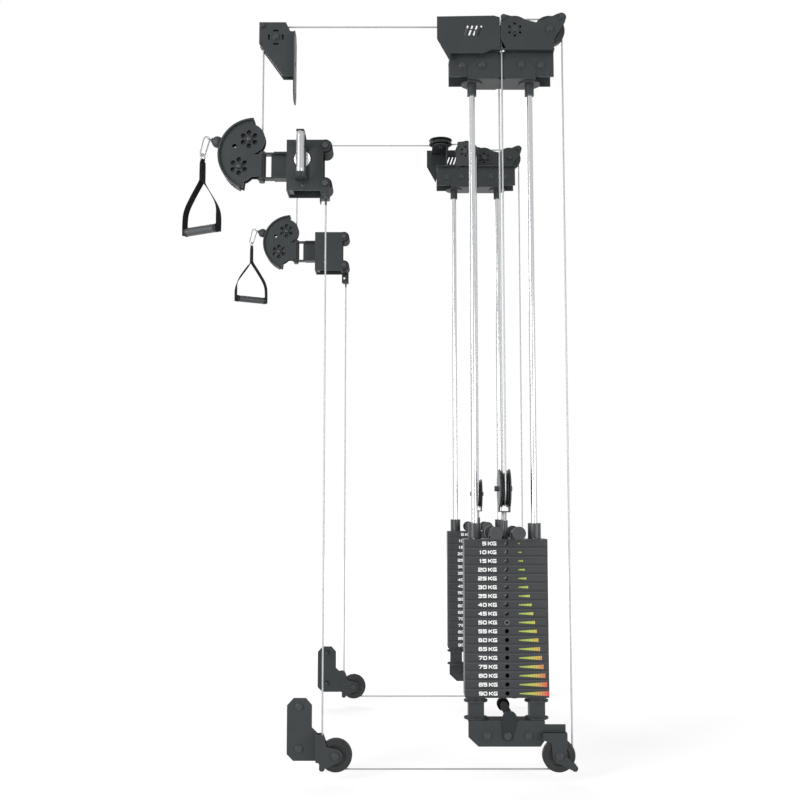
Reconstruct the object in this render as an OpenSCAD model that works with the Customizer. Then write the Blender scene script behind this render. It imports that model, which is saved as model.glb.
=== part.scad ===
// Wall of pulleys for a strength rack: two mirrored cable columns with plate stacks.
// X runs from the handles to the stacks, Y across the pair, Z up. All sizes in millimetres.

/* [Layout] */
// Distance from the middle of the pair to the centre of each plate stack
stack_y = 578; // [450:1:800]
// Distance along X from the middle of the pair to the stack centre
stack_x = 313; // [290:1:360]
// How far the front cable plane lies inside the outer cable plane
front_inset = 56; // [54:1:70]
// Height of the cable along the top
top_rope_z = 2261.5; // [2200:0.5:2500]
// Height of the cable along the bottom
bottom_rope_z = 8; // [0:0.5:40]
// X of the swivel hinge, which the front cable hangs down on
hinge_x = -427; // [-440:1:-420]
// X of the rear vertical cable
rear_rope_x = 499; // [480:1:560]
// X of the lower front vertical cable
front_rope_x = -225.5; // [-230:0.5:-215]
// Height of the swivel hinge's middle, at rest
hinge_z = 1812; // [1500:1:1880]

/* [Rack beams] */
// Width of the rack's square uprights and beams
beam_w = 75; // [70:1:76]
// Clearance round a beam, each side
beam_gap = 2; // [1:0.5:3]
// X of the front upright's centre
upright_x = -289; // [-294:1:-286]

/* [Cable] */
// Diameter of the steel cable
rope_d = 5; // [4:0.5:6]
// Radius of the cable's centre line round a pulley
rope_r = 39.5; // [38:0.5:42]
// Radius of the cable's centre line round the floating sheave
float_r = 50; // [46:1:54]
// Clearance between the cable and a groove's floor
rope_gap = 0.3; // [0.2:0.1:0.5]

/* [Pulleys] */
// Outer radius of a frame pulley
pulley_r = 47.5; // [46:0.5:49]
// Outer radius of a swivel pulley
swivel_pulley_r = 44; // [43:0.5:45]
// Outer radius of the floating sheave
sheave_r = 56; // [55:0.5:58]
// Width of every pulley
pulley_w = 20; // [16:1:22]
// Radius of the pulley axles
axle_r = 5; // [4:0.5:6]
// Running clearance of a bore on its axle
run_gap = 0.05; // [0.02:0.01:0.08]

/* [Sheet metal] */
// Thickness of the folded plates
plate_t = 4; // [3:0.5:5]
// Gap between a pulley and the plate beside it
side_gap = 3; // [2:0.5:4]
// Clearance of a bolt in a plate's hole
hole_gap = 0.3; // [0.2:0.1:0.5]
// Gap that separates two plates that would touch
seat_gap = 0.3; // [0.2:0.05:0.4]

/* [Plate stack] */
// Number of plates in a stack
plate_count = 18; // [12:1:20]
// Plates above the selector pin, which is in the lowest of them
plate_lift = 10; // [4:1:11]
// Height from one plate to the next
plate_pitch = 25.5; // [22:0.5:28]
// Length of a plate along X
plate_l = 246; // [236:1:260]
// Depth of a plate along Y
plate_d = 100; // [90:1:110]
// Height of the lowest plate's underside
stack_z = 209; // [205:1:240]
// Distance between the two guide rods
rod_pitch = 179; // [170:1:185]
// Radius of a guide rod
rod_r = 9.5; // [8:0.5:10]
// Clearance of a plate's holes round the rods
rod_gap = 1; // [0.6:0.1:1.5]
// Radius of the selector stem
stem_r = 12; // [10:0.5:14]
// Radius of the selector pin
selector_r = 6; // [5:0.1:6.4]
// Height of the guide bushings on the top plate
bushing_h = 46; // [36:1:56]

/* [Handle] */
// Radius of the ball stop
ball_r = 18; // [16:0.5:20]
// Length of the grip
grip_l = 128; // [115:1:140]
// Radius of the grip
grip_r = 14; // [13:0.5:16]
// Width of the webbing
web_w = 25; // [22:1:28]
// Thickness of the webbing
web_t = 2.6; // [2:0.1:3.2]
// Turn of the hanging handle about the vertical
handle_turn = 30; // [0:1:45]

/* [Hidden] */
$fn = 64;

steel = "#44484b";
dark = "#2b2d2f";
silver = "#c9ccce";
rubber = "#1f2021";
rope_colour = "#b9bcbe";

// Cable planes, as distances from the middle of the pair
outer_y = stack_y + float_r;
inner_y = stack_y - float_r;
front_y = outer_y - front_inset;

// Pulley centres
top_axle_z = top_rope_z - rope_r;
low_axle_z = bottom_rope_z + rope_r;
top_axle_x = hinge_x + rope_r;
mid_axle_x = stack_x + rope_r;
rear_axle_x = rear_rope_x - rope_r;
front_axle_x = front_rope_x + rope_r;

// Half the gap between a pulley's two plates, and the half width outside them
cheek_in = pulley_w / 2 + side_gap;
cheek_out = cheek_in + plate_t;

// The flat header pulley turns the cable inwards to the yawed one
flat_x = stack_x - 146;
flat_y = front_y - rope_r;
turn_x = stack_x - flat_x;
turn_y = inner_y - flat_y;
turn_len = sqrt(turn_x * turn_x + turn_y * turn_y);
yaw = asin(rope_r / turn_len) - atan2(turn_y, turn_x);
slant_l = sqrt(turn_len * turn_len - rope_r * rope_r) - rope_r;

// Floating sheave
float_z = 817;
stack_top = stack_z + plate_count * plate_pitch;
lift_bottom = stack_top - plate_lift * plate_pitch;
rod_xs = [stack_x - rod_pitch / 2, stack_x + rod_pitch / 2];

// Carriage box, round the upright with a liner in front and rollers behind
sleeve_in = beam_w / 2 + beam_gap;
sleeve_out = sleeve_in + plate_t;
box_front = upright_x - beam_w / 2 - 21;
box_low = hinge_z - 87;
box_high = hinge_z + 72;
roller_r = 21.5;
roller_x = upright_x + beam_w / 2 + roller_r + 0.5;
roller_zs = [hinge_z + 53, hinge_z - 66];
anchor_z = hinge_z - 122;
arm_gap = 72;
arm_t = 6;
barrel_r = 12;
pin_r = 5;

// Release handle and its spring pin
release_x = -299;
release_z = hinge_z + 10;
plunger_r = 6;
housing_r = 25;
grip_out = 118;

// Swivel head: pulley centres, guard rim and ball stop
upper_x = hinge_x - rope_r;
upper_z = hinge_z + 83;
lower_x = upper_x - 30.5;
lower_z = upper_z - 86;
guard_x = hinge_x - 21;
guard_z = hinge_z + 33;
guard_r = 114.5;
guard_t = 5;
guard_w = 54;
lobe_r = 49;
ball_turn = 159;
ball_out = guard_r + sqrt(ball_r * ball_r - cheek_in * cheek_in) + seat_gap;
ball_x = guard_x + ball_out * cos(ball_turn);
ball_z = guard_z + ball_out * sin(ball_turn);
ball_run_x = ball_x - upper_x;
ball_run_z = ball_z - upper_z;
ball_dist = sqrt(ball_run_x * ball_run_x + ball_run_z * ball_run_z);
leave = atan2(ball_run_z, ball_run_x) + acos(rope_r / ball_dist);
ball_run = sqrt(ball_dist * ball_dist - rope_r * rope_r);
pull_turn = leave - 90;

// Carabiner and strap
eye_out = 27;
eye_r = 6;
eye_wire = 1.5;
eye_x = ball_x + (eye_out + eye_r) * cos(pull_turn);
eye_z = ball_z + (eye_out + eye_r) * sin(pull_turn);
wire_r = 2.5;
link_r = 9.5;
link_seat = link_r - wire_r - eye_wire - seat_gap;
link_top = [eye_x - link_seat * cos(52), eye_z - link_seat * sin(52)];
link_low = [link_top[0] - 11, link_top[1] - 42];
ring_r = 10;
ring_wire = 2;
ring_z = link_low[1] - link_r + wire_r + ring_wire + seat_gap - ring_r;
strap_x = link_low[0];
split_z = hinge_z - 44;
knee_z = hinge_z - 132;
grip_z = hinge_z - 200;
leg_x = grip_l / 2 + 1.5;

// Header and foot heights, set by the rack's beams
header_beam_z = 2116.5;
header_top = header_beam_z + beam_w / 2;
hanger_low = header_beam_z - beam_w / 2 - 1;
foot_beam_z = 100;
foot_top = foot_beam_z + beam_w / 2 + 1;
channel_in = beam_w / 2 + seat_gap;
header_x0 = 153;
header_x1 = 474;
bolt_r = 6;
beam_hole_r = 7;
bolt_head = 9.5;

// A slab from y0 outwards by t, with its outline drawn in X and Z
module slab(y0, t) {
    translate([0, -y0, 0]) rotate([90, 0, 0]) linear_extrude(t) children();
}

// A round bar along Y between two distances from the middle
module bar_y(x, z, y0, y1, r, fn = 40) {
    translate([x, -y0, z]) rotate([90, 0, 0]) cylinder(h = y1 - y0, r = r, $fn = fn);
}

module at_y(x, y, z) {
    translate([x, -y, z]) rotate([90, 0, 0]) children();
}

module other_side() {
    mirror([0, 1, 0]) children();
}

module both_sides() {
    children();
    other_side() children();
}

// A hexagon bolt along Y: head outside y1, nut inside y0
module bolt_y(x, z, y0, y1, r = bolt_r, head = bolt_head) {
    bar_y(x, z, y0 - 3, y1, r);
    bar_y(x, z, y1, y1 + 2, head + 2);
    bar_y(x, z, y1 + 2, y1 + 9, head, 6);
    bar_y(x, z, y0 - 9, y0 - 2, head, 6);
}

// A pulley about Z: rim, round-floored groove, dished web and hub
module pulley(rim, groove) {
    half = pulley_w / 2;
    floor_r = groove - rope_d / 2 - rope_gap;
    rotate_extrude($fn = 72) polygon([
        [axle_r + run_gap, -half], [14, -half], [15, -half + 4], [floor_r - 8, -half + 4],
        [floor_r - 7, -half], [rim - 1, -half], [rim, -half + 1], [rim, -half + 3],
        [floor_r, -rope_d / 2 - 0.6], [floor_r, rope_d / 2 + 0.6],
        [rim, half - 3], [rim, half - 1], [rim - 1, half],
        [floor_r - 7, half], [floor_r - 8, half - 4], [15, half - 4], [14, half],
        [axle_r + run_gap, half]
    ]);
}

module frame_pulley(x, y, z) {
    color(dark) at_y(x, y, z) pulley(pulley_r, rope_r);
}

// A stretch of cable along Z, X or a turn in the XZ plane
module rope_z(x, y, z0, z1) {
    translate([x, -y, z0]) cylinder(h = z1 - z0, d = rope_d, $fn = 20);
}

module rope_x(x0, x1, y, z) {
    translate([x0, -y, z]) rotate([0, 90, 0]) cylinder(h = x1 - x0, d = rope_d, $fn = 20);
}

module rope_turn(x, y, z, r, from, sweep) {
    at_y(x, y, z) rotate([0, 0, from])
        rotate_extrude(angle = sweep, $fn = 72) translate([r, 0]) circle(d = rope_d, $fn = 20);
}

module ring_of_holes(x, z, r, hole, count = 6) {
    for (i = [0:count - 1])
        translate([x + r * cos(i * 360 / count + 90), z + r * sin(i * 360 / count + 90)])
            circle(r = hole, $fn = 24);
}

module round_hole(x, z, r) {
    translate([x, z]) circle(r = r, $fn = 40);
}

// A slotted arc, one of four round the top pulley's bolt
module arc_slot(r, w, sweep) {
    difference() {
        circle(r = r + w / 2);
        circle(r = r - w / 2);
        rotate(sweep / 2) translate([-100, 0]) square([200, 100]);
        rotate(-sweep / 2) translate([-100, -100]) square([200, 100]);
        translate([-200, -100]) square([200, 200]);
    }
}

// Top front bracket: two cheeks on a flange that bolts to the upright's face
module top_bracket() {
    z = top_axle_z;
    flange_x = upright_x - beam_w / 2 - seat_gap - plate_t;
    for (y = [front_y - cheek_out, front_y + cheek_in]) slab(y, plate_t) difference() {
        polygon([
            [hinge_x - 12.5, z + 48.5], [top_axle_x + 31, z + 48.5], [top_axle_x + 45, z + 20],
            [flange_x + 1, z + 19], [flange_x + 1, z - 125], [top_axle_x + 22, z - 125],
            [hinge_x - 12.5, z - 22]
        ]);
        round_hole(top_axle_x, z, axle_r + hole_gap);
        round_hole(hinge_x - 3, z + 36, 4 + hole_gap);
        round_hole(hinge_x - 7.5, z - 19, 2.5 + hole_gap);
        for (i = [0:3]) translate([top_axle_x, z]) rotate(i * 90) arc_slot(22, 6, 46);
    }
    difference() {
        translate([flange_x, -front_y, 0]) rotate([90, 0, 90]) linear_extrude(plate_t) polygon([
            [-37, z - 180], [-20, z - 206], [20, z - 206], [37, z - 180],
            [37, z - 8], [20, z + 20], [-20, z + 20], [-37, z - 8]
        ]);
        for (dz = [-182, -82])
            translate([flange_x - 1, -front_y, z + dz]) rotate([0, 90, 0])
                cylinder(h = plate_t + 2, r = 8.25, $fn = 40);
    }
}

module top_brackets() {
    color(steel) both_sides() top_bracket();
}

// Header housing: base, faces and the carriers of four pulleys
module rear_face(x0) {
    z = top_axle_z;
    difference() {
        union() {
            polygon([
                [stack_x - 5, z - 25], [stack_x - 1, z + 46], [stack_x + 4, z + 50],
                [rear_axle_x - 38, z + 22], [rear_axle_x + 28, z + 52],
                [rear_axle_x + 49, z + 27], [rear_axle_x + 13, z - 31],
                [rear_axle_x + 13, header_top + plate_t], [stack_x + 15, header_top + plate_t]
            ]);
            translate([rear_axle_x + 37, z + 39.5]) circle(r = 14.5);
        }
        round_hole(rear_axle_x, z, axle_r + hole_gap);
        round_hole(mid_axle_x, z, axle_r + hole_gap);
        ring_of_holes(mid_axle_x, z, 19, 4);
        round_hole(stack_x + 5, z + 39.5, 4 + hole_gap);
        round_hole(rear_axle_x + 37, z + 39.5, 4 + hole_gap);
    }
}

module header_housing() {
    z = top_axle_z;
    base_z = header_top + plate_t + seat_gap;
    face_y = outer_y + cheek_in;
    slab(face_y, plate_t) difference() {
        polygon([
            [flat_x - 53.5, z + 41.5], [flat_x + 122, z + 44.5], [stack_x - 6, z + 39],
            [stack_x - 6, z - 58], [stack_x - 22, z - 58], [stack_x - 56, z - 75.5],
            [flat_x - 12, z - 75.5], [flat_x - 17, z - 96], [flat_x - 53.5, z - 30]
        ]);
        for (i = [0:3]) translate([flat_x + 28 + i * 14, z - 18]) rotate(-20)
            square([5, 34]);
    }
    slab(face_y, plate_t) rear_face();
    slab(outer_y - cheek_out, plate_t) rear_face();
    // Base sheet under the faces
    difference() {
        translate([header_x0, -(face_y + plate_t), base_z])
            cube([header_x1 - header_x0, face_y + plate_t - inner_y + 6, plate_t]);
        for (y = [inner_y, outer_y])
            translate([stack_x, -y, base_z - 1]) cylinder(h = plate_t + 2, r = 12);
        translate([stack_x - 75, -(inner_y + 12), base_z - 1])
            linear_extrude(plate_t + 2) rotate(yaw) square([64, 26], center = true);
    }
    // Shelf and gusset under the flat pulley
    shelf_z = top_rope_z - pulley_w / 2 - side_gap - plate_t;
    difference() {
        translate([flat_x, 0, shelf_z]) linear_extrude(plate_t) union() {
            translate([0, -flat_y]) circle(r = 34);
            translate([-34, -face_y]) square([68, face_y - flat_y]);
        }
        translate([flat_x, -flat_y, shelf_z - 1])
            cylinder(h = plate_t + 2, r = axle_r + hole_gap);
    }
    translate([flat_x + 24, -face_y, base_z + plate_t])
        cube([plate_t, face_y - flat_y, shelf_z - base_z - plate_t]);
    // Cheeks of the yawed pulley
    translate([stack_x, -inner_y, 0]) rotate([0, 0, yaw])
        for (y = [-cheek_in - plate_t, cheek_in]) translate([0, y + plate_t, 0])
            rotate([90, 0, 0]) linear_extrude(plate_t) difference() {
                polygon([
                    [-rope_r - 46, base_z + plate_t], [-rope_r - 34, z + 43],
                    [-rope_r + 30, z + 43], [-14, z + 12], [-14, base_z + plate_t]
                ]);
                round_hole(-rope_r, z, axle_r + hole_gap);
                ring_of_holes(-rope_r, z, 19, 4);
            }
}

module header_housings() {
    color(steel) both_sides() header_housing();
}

// Header frame: a channel over the rack's top beam and a hanger under it
module channel_face() {
    difference() {
        translate([header_x0, header_beam_z - 34.5])
            square([header_x1 - header_x0, header_top - header_beam_z + 34.5]);
        for (x = [192, 434]) round_hole(x, header_beam_z, beam_hole_r);
        for (x = [252, 373]) round_hole(x, header_beam_z, beam_hole_r);
    }
}

module hanger_face() {
    difference() {
        polygon([
            [stack_x - 104, hanger_low], [stack_x + 104, hanger_low],
            [stack_x + 104, header_beam_z - 8], [stack_x + 73, header_beam_z + 21],
            [stack_x - 73, header_beam_z + 21], [stack_x - 104, header_beam_z - 8]
        ]);
        for (x = [252, 373]) round_hole(x, header_beam_z, beam_hole_r);
    }
}

module header_frame() {
    channel_out = channel_in + plate_t;
    hanger_out = channel_out + seat_gap;
    for (y = [stack_y - channel_out, stack_y + channel_in]) slab(y, plate_t) channel_face();
    difference() {
        translate([header_x0, -stack_y - channel_out, header_top])
            cube([header_x1 - header_x0, 2 * channel_out, plate_t]);
        for (y = [inner_y, outer_y])
            translate([stack_x, -y, header_top - 1]) cylinder(h = plate_t + 2, r = 12);
    }
    for (y = [stack_y - hanger_out - plate_t, stack_y + hanger_out])
        slab(y, plate_t) hanger_face();
    difference() {
        translate([stack_x - 104, -stack_y - hanger_out - plate_t, hanger_low - plate_t])
            cube([208, 2 * (hanger_out + plate_t), plate_t]);
        for (y = [inner_y, outer_y])
            translate([stack_x, -y, hanger_low - plate_t - 1])
                cylinder(h = plate_t + 2, r = 12);
        for (x = rod_xs) translate([x, -stack_y, hanger_low - plate_t - 1])
            cylinder(h = plate_t + 2, r = rod_r + hole_gap);
    }
    // Rod sockets with their round flanges
    for (x = rod_xs) translate([x, -stack_y, 0]) difference() {
        union() {
            translate([0, 0, hanger_low - plate_t - 4]) cylinder(h = 4, r = 33);
            translate([0, 0, hanger_low - plate_t - 38]) cylinder(h = 38, r = rod_r + 5);
        }
        translate([0, 0, hanger_low - plate_t - 39]) cylinder(h = 50, r = rod_r + hole_gap);
    }
}

module header_frames() {
    color(steel) both_sides() header_frame();
}

// Guide rods, from the foot posts up into the header's sockets
module guide_rods() {
    color(silver) both_sides() for (x = rod_xs)
        translate([x, -stack_y, foot_top + plate_t + seat_gap])
            cylinder(h = hanger_low - foot_top - plate_t, r = rod_r);
}

// One weight plate, with its rod holes, stem hole and selector hole
module weight_plate(z) {
    c = 8;
    difference() {
        translate([stack_x, -stack_y, z]) linear_extrude(plate_pitch - seat_gap) polygon([
            [-plate_l / 2 + c, -plate_d / 2], [plate_l / 2 - c, -plate_d / 2],
            [plate_l / 2, -plate_d / 2 + c], [plate_l / 2, plate_d / 2 - c],
            [plate_l / 2 - c, plate_d / 2], [-plate_l / 2 + c, plate_d / 2],
            [-plate_l / 2, plate_d / 2 - c], [-plate_l / 2, -plate_d / 2 + c]
        ]);
        for (x = rod_xs) translate([x, -stack_y, z - 1])
            cylinder(h = plate_pitch + 2, r = rod_r + rod_gap);
        translate([stack_x, -stack_y, z - 1]) cylinder(h = plate_pitch + 2, r = stem_r + 1.5);
        bar_y(stack_x, z + plate_pitch / 2, stack_y - plate_d / 2 - 1,
            stack_y + plate_d / 2 + 1, selector_r + hole_gap, 32);
    }
}

module stack_lifted() {
    color(dark) for (i = [0:plate_lift - 1]) weight_plate(lift_bottom + i * plate_pitch);
}

module resting_plates() {
    color(dark) both_sides() for (i = [0:plate_count - plate_lift - 1])
        weight_plate(stack_z + i * plate_pitch);
}

// Selector pin, through the lowest lifted plate into the stem; both go in from the -Y side
module selector_pin() {
    z = lift_bottom + plate_pitch / 2;
    face = stack_y + plate_d / 2;
    color(silver) {
        bar_y(stack_x, z, stack_y - 6, face + 2, selector_r, 32);
        bar_y(stack_x, z, face + 1, face + 4, selector_r + 1.6, 32);
    }
}

// Lift head: stem, guide bushings, yoke of the floating sheave and two add-on weights
module lift_head() {
    z = stack_top + seat_gap;
    color(steel) {
        difference() {
            translate([stack_x, -stack_y, stack_z + 4])
                cylinder(h = z + 54 - stack_z - 4, r = stem_r - 2);
            for (i = [0:plate_lift - 1])
                bar_y(stack_x, lift_bottom + (i + 0.5) * plate_pitch, stack_y - 14,
                    stack_y + 14, selector_r + run_gap, 32);
        }
        for (x = rod_xs) translate([x, -stack_y, z]) difference() {
            cylinder(h = bushing_h, r = 19.5);
            translate([0, 0, -1]) cylinder(h = bushing_h + 2, r = rod_r + run_gap);
        }
        translate([stack_x, -stack_y, z + 54]) cylinder(h = 24, r = 7);
        translate([stack_x - cheek_out, -stack_y - 15, z + 78])
            cube([2 * cheek_out, 30, plate_t]);
    }
    color(steel) for (s = [-1, 1])
        translate([stack_x + (s > 0 ? cheek_in : -cheek_out), -stack_y, 0])
            rotate([90, 0, 90]) linear_extrude(plate_t) difference() {
                union() {
                    translate([0, float_z]) circle(r = sheave_r + 3);
                    polygon([[-15, z + 78], [15, z + 78], [26, float_z - 40],
                        [-26, float_z - 40]]);
                }
                translate([0, float_z]) circle(r = axle_r + hole_gap);
            }
    color(silver) translate([stack_x - cheek_out - 12, -stack_y, float_z]) rotate([0, 90, 0]) {
        cylinder(h = 2 * cheek_out + 18, r = axle_r);
        cylinder(h = 12 - seat_gap, r = 8, $fn = 6);
        translate([0, 0, 2 * cheek_out + 12 + seat_gap]) cylinder(h = 7, r = 8, $fn = 6);
    }
    color(dark) for (x = [-33.5, 33.5]) {
        bar_y(stack_x + x, z + 17, stack_y - 100, stack_y + 100, 8);
        bar_y(stack_x + x, z + 17, stack_y + 86, stack_y + 100, 20, 48);
        bar_y(stack_x + x, z + 17, stack_y - 100, stack_y - 86, 20, 48);
        for (y = [-30, 30]) translate([stack_x + x - 12, -stack_y + y - 5, z])
            cube([24, 10, 16]);
    }
}

// The two header pulleys that turn the front cable down to the stack
module flat_pulley() {
    color(dark) translate([flat_x, -flat_y, top_rope_z]) pulley(pulley_r, rope_r);
}

module yawed_pulley() {
    color(dark) translate([stack_x, -inner_y, top_axle_z]) rotate([0, 0, yaw])
        translate([-rope_r, 0, 0]) rotate([90, 0, 0]) pulley(pulley_r, rope_r);
}

module float_sheave() {
    color(dark) translate([stack_x, -stack_y, float_z]) rotate([0, 90, 0])
        pulley(sheave_r, float_r);
}

module rope_on_float() {
    color(rope_colour) translate([stack_x, -stack_y, float_z]) rotate([90, 0, 90])
        rotate([0, 0, 180]) rotate_extrude(angle = 180, $fn = 72)
            translate([float_r, 0]) circle(d = rope_d, $fn = 20);
}

// Carriage: box round the upright, clevis arms in front, roller ears and cable anchor behind
module cheek_outline() {
    difference() {
        union() {
            translate([box_front, box_low])
                square([roller_x - box_front - 6, box_high - box_low]);
            for (z = roller_zs) translate([roller_x, z]) circle(r = 17);
            for (z = roller_zs) translate([roller_x - 20, z - 17]) square([20, 34]);
        }
        for (z = roller_zs) round_hole(roller_x, z, 6 + hole_gap);
    }
}

module carriage() {
    color(steel) {
        slab(front_y - sleeve_out, plate_t) cheek_outline();
        difference() {
            slab(front_y + sleeve_in, plate_t) cheek_outline();
            bar_y(release_x, release_z, front_y, front_y + sleeve_out + 1,
                plunger_r + run_gap);
        }
        translate([box_front, -front_y - sleeve_in, box_low])
            cube([plate_t, 2 * sleeve_in, box_high - box_low]);
        // Clevis: two arms and the web between them
        difference() {
            for (z = [hinge_z + arm_gap / 2, hinge_z - arm_gap / 2 - arm_t])
                translate([0, -front_y, z]) linear_extrude(arm_t) union() {
                    translate([hinge_x, 0]) circle(r = 14);
                    translate([hinge_x, -12]) square([box_front - hinge_x - 30, 24]);
                    translate([box_front - 42, -20]) square([42, 40]);
                }
            translate([hinge_x, -front_y, hinge_z - 60])
                cylinder(h = 120, r = pin_r + hole_gap);
        }
        translate([hinge_x + 28, -front_y - plate_t / 2, hinge_z - arm_gap / 2])
            cube([box_front - hinge_x - 28, plate_t, arm_gap]);
        // Cable anchor: a bent tab outside the outer cheek
        anchor();
    }
}

module anchor() {
    y0 = front_y + sleeve_out;
    y1 = outer_y + 12;
    slab(y0, plate_t) difference() {
        translate([front_rope_x - 16, anchor_z]) square([28, hinge_z - 76 - anchor_z]);
        round_hole(front_rope_x - 6, anchor_z + 20, 4);
    }
    difference() {
        translate([front_rope_x - 12, -y1, anchor_z]) cube([24, y1 - y0, plate_t]);
        translate([front_rope_x, -outer_y, anchor_z - 1])
            cylinder(h = plate_t + 2, r = 3.5 + hole_gap);
    }
}

// Fittings that stay on the carriage: axles, hinge pin, liners, pin housing, cable plug
module carriage_fittings() {
    color(silver) {
        for (z = roller_zs) {
            bar_y(roller_x, z, front_y - sleeve_out - 2, front_y + sleeve_out + 2, 6);
            bar_y(roller_x, z, front_y + sleeve_out + seat_gap, front_y + sleeve_out + 8,
                10, 6);
            bar_y(roller_x, z, front_y - sleeve_out - 8, front_y - sleeve_out - seat_gap,
                10, 6);
        }
        translate([hinge_x, -front_y, hinge_z - arm_gap / 2 - arm_t - 8])
            cylinder(h = arm_gap + 2 * arm_t + 14, r = pin_r);
        translate([hinge_x, -front_y, hinge_z + arm_gap / 2 + arm_t + seat_gap])
            cylinder(h = 6, r = 9, $fn = 6);
        translate([hinge_x, -front_y, hinge_z - arm_gap / 2 - arm_t - 9])
            cylinder(h = 9 - seat_gap, r = 9, $fn = 6);
        difference() {
            bar_y(release_x, release_z, front_y + sleeve_out + seat_gap,
                front_y + sleeve_out + 5, housing_r);
            bar_y(release_x, release_z, front_y, front_y + sleeve_out + 20,
                plunger_r + run_gap);
        }
    }
    color(rubber) {
        for (z = [box_low + 6, box_high - 46])
            translate([box_front + plate_t + seat_gap, -front_y - 30, z])
                cube([14, 60, 40]);
        translate([front_rope_x, -outer_y, anchor_z + plate_t + seat_gap])
            cylinder(h = 5, r = 8);
        translate([front_rope_x, -outer_y, anchor_z - 15]) cylinder(h = 22, r = 3.5);
    }
}

module roller(z) {
    color(rubber) difference() {
        bar_y(roller_x, z, front_y - sleeve_in + 1, front_y + sleeve_in - 1, roller_r, 60);
        bar_y(roller_x, z, front_y - 60, front_y + 60, 6 + run_gap, 60);
    }
}

// Release handle: a silver bar grip on two arms, with the spring pin behind it
module release_handle() {
    y0 = front_y + sleeve_out + 8;
    y1 = front_y + grip_out;
    color(silver) bar_grip(y1);
    color(dark) {
        translate([release_x - 10, -y0 - 5, release_z - 64]) cube([20, 5, 127]);
        for (z = [release_z - 63 - plate_t, release_z + 62]) translate([release_x, 0, z])
            linear_extrude(plate_t) union() {
                translate([0, -y1]) circle(r = 13);
                translate([-10, -y1]) square([20, y1 - y0]);
            }
    }
    color(silver) bar_y(release_x, release_z, front_y + beam_w / 2 - 12, y0 + 1, plunger_r);
}

module bar_grip(y) {
    translate([release_x, -y, release_z - 62.7]) cylinder(h = 124.4, r = 12.5);
}

// Swivel head: two cheeks joined by the curved guard and the hinge barrel
module head_outline() {
    difference() {
        union() {
            intersection() {
                translate([guard_x, guard_z]) circle(r = guard_r - guard_t + 1, $fn = 96);
                polygon([
                    [guard_x - 3, guard_z + 130], [guard_x - 39, guard_z - 130],
                    [guard_x - 160, guard_z - 130], [guard_x - 160, guard_z + 130]
                ]);
            }
            translate([upper_x, upper_z]) circle(r = lobe_r);
            translate([lower_x, lower_z]) circle(r = lobe_r);
            translate([lower_x, hinge_z - 35]) square([hinge_x - lower_x, 70]);
        }
        round_hole(upper_x, upper_z, axle_r + hole_gap);
        round_hole(lower_x, lower_z, axle_r + hole_gap);
        ring_of_holes(upper_x, upper_z, 21, 8);
        ring_of_holes(lower_x, lower_z, 21, 8);
        round_hole(guard_x - 64, guard_z + 29, 7);
    }
}

module guard_band(w) {
    translate([guard_x, -front_y, guard_z]) rotate([90, 0, 0]) rotate([0, 0, 92])
        rotate_extrude(angle = 153, $fn = 96) translate([guard_r - guard_t, -w / 2])
            square([guard_t, w]);
}

module swivel_head() {
    color(steel) {
        for (y = [front_y - cheek_out, front_y + cheek_in]) slab(y, plate_t) head_outline();
        difference() {
            guard_band(guard_w);
            guard_band_slot();
        }
        difference() {
            translate([hinge_x, -front_y, hinge_z - 35]) cylinder(h = 70, r = barrel_r);
            translate([hinge_x, -front_y, hinge_z - 36])
                cylinder(h = 72, r = pin_r + run_gap);
        }
        for (y = [front_y - cheek_in, front_y + barrel_r - 3])
            slab(y, cheek_in - barrel_r + 3) translate([hinge_x - 14, hinge_z - 35])
                square([7, 70]);
    }
    color(silver) {
        bolt_y(upper_x, upper_z, front_y - cheek_out, front_y + cheek_out, axle_r, 8);
        bolt_y(lower_x, lower_z, front_y - cheek_out, front_y + cheek_out, axle_r, 8);
    }
}

// The slot that lets the cable leave at any height
module guard_band_slot() {
    translate([guard_x, -front_y, guard_z]) rotate([90, 0, 0]) rotate([0, 0, 100])
        rotate_extrude(angle = 138, $fn = 96)
            translate([guard_r - guard_t - 1, -cheek_in]) square([guard_t + 2, 2 * cheek_in]);
}

module swivel_pulley(x, z) {
    color(dark) at_y(x, front_y, z) pulley(swivel_pulley_r, rope_r);
}

module rope_on_swivel() {
    color(rope_colour) {
        rope_turn(upper_x, front_y, upper_z, rope_r, leave, -leave);
        translate([upper_x + rope_r * cos(leave), -front_y, upper_z + rope_r * sin(leave)])
            rotate([0, 90 - pull_turn, 0])
                cylinder(h = ball_run - ball_r - seat_gap, d = rope_d, $fn = 20);
    }
}

// Ball stop with the cable's end eye
module ball_stop() {
    color(rubber) translate([ball_x, -front_y, ball_z]) sphere(r = ball_r, $fn = 48);
    color(silver) translate([ball_x, -front_y, ball_z]) rotate([0, 90 - pull_turn, 0]) {
        cylinder(h = eye_out - eye_r, r = 3, $fn = 24);
        translate([0, 0, eye_out]) rotate([0, 90, 0])
            rotate_extrude($fn = 36) translate([eye_r, 0]) circle(r = eye_wire, $fn = 16);
    }
}

// Carabiner: a closed wire link
module carabiner() {
    dx = link_low[0] - link_top[0];
    dz = link_low[1] - link_top[1];
    run = sqrt(dx * dx + dz * dz);
    color(silver) translate([link_top[0], -front_y, link_top[1]])
        rotate([0, 90 - atan2(dz, dx), 0]) rotate([90, 0, 0]) {
            rotate([0, 0, 180]) link_end();
            translate([0, run, 0]) link_end();
            for (x = [-link_r, link_r]) translate([x, 0, 0]) rotate([-90, 0, 0])
                cylinder(h = run, r = wire_r, $fn = 24);
        }
}

module link_end() {
    rotate_extrude(angle = 180, $fn = 48) translate([link_r, 0]) circle(r = wire_r, $fn = 24);
}

// The handle hangs under the carabiner, turned about the vertical
module hanging() {
    translate([strap_x, -front_y, 0]) rotate([0, 0, -handle_turn]) children();
}

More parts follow.
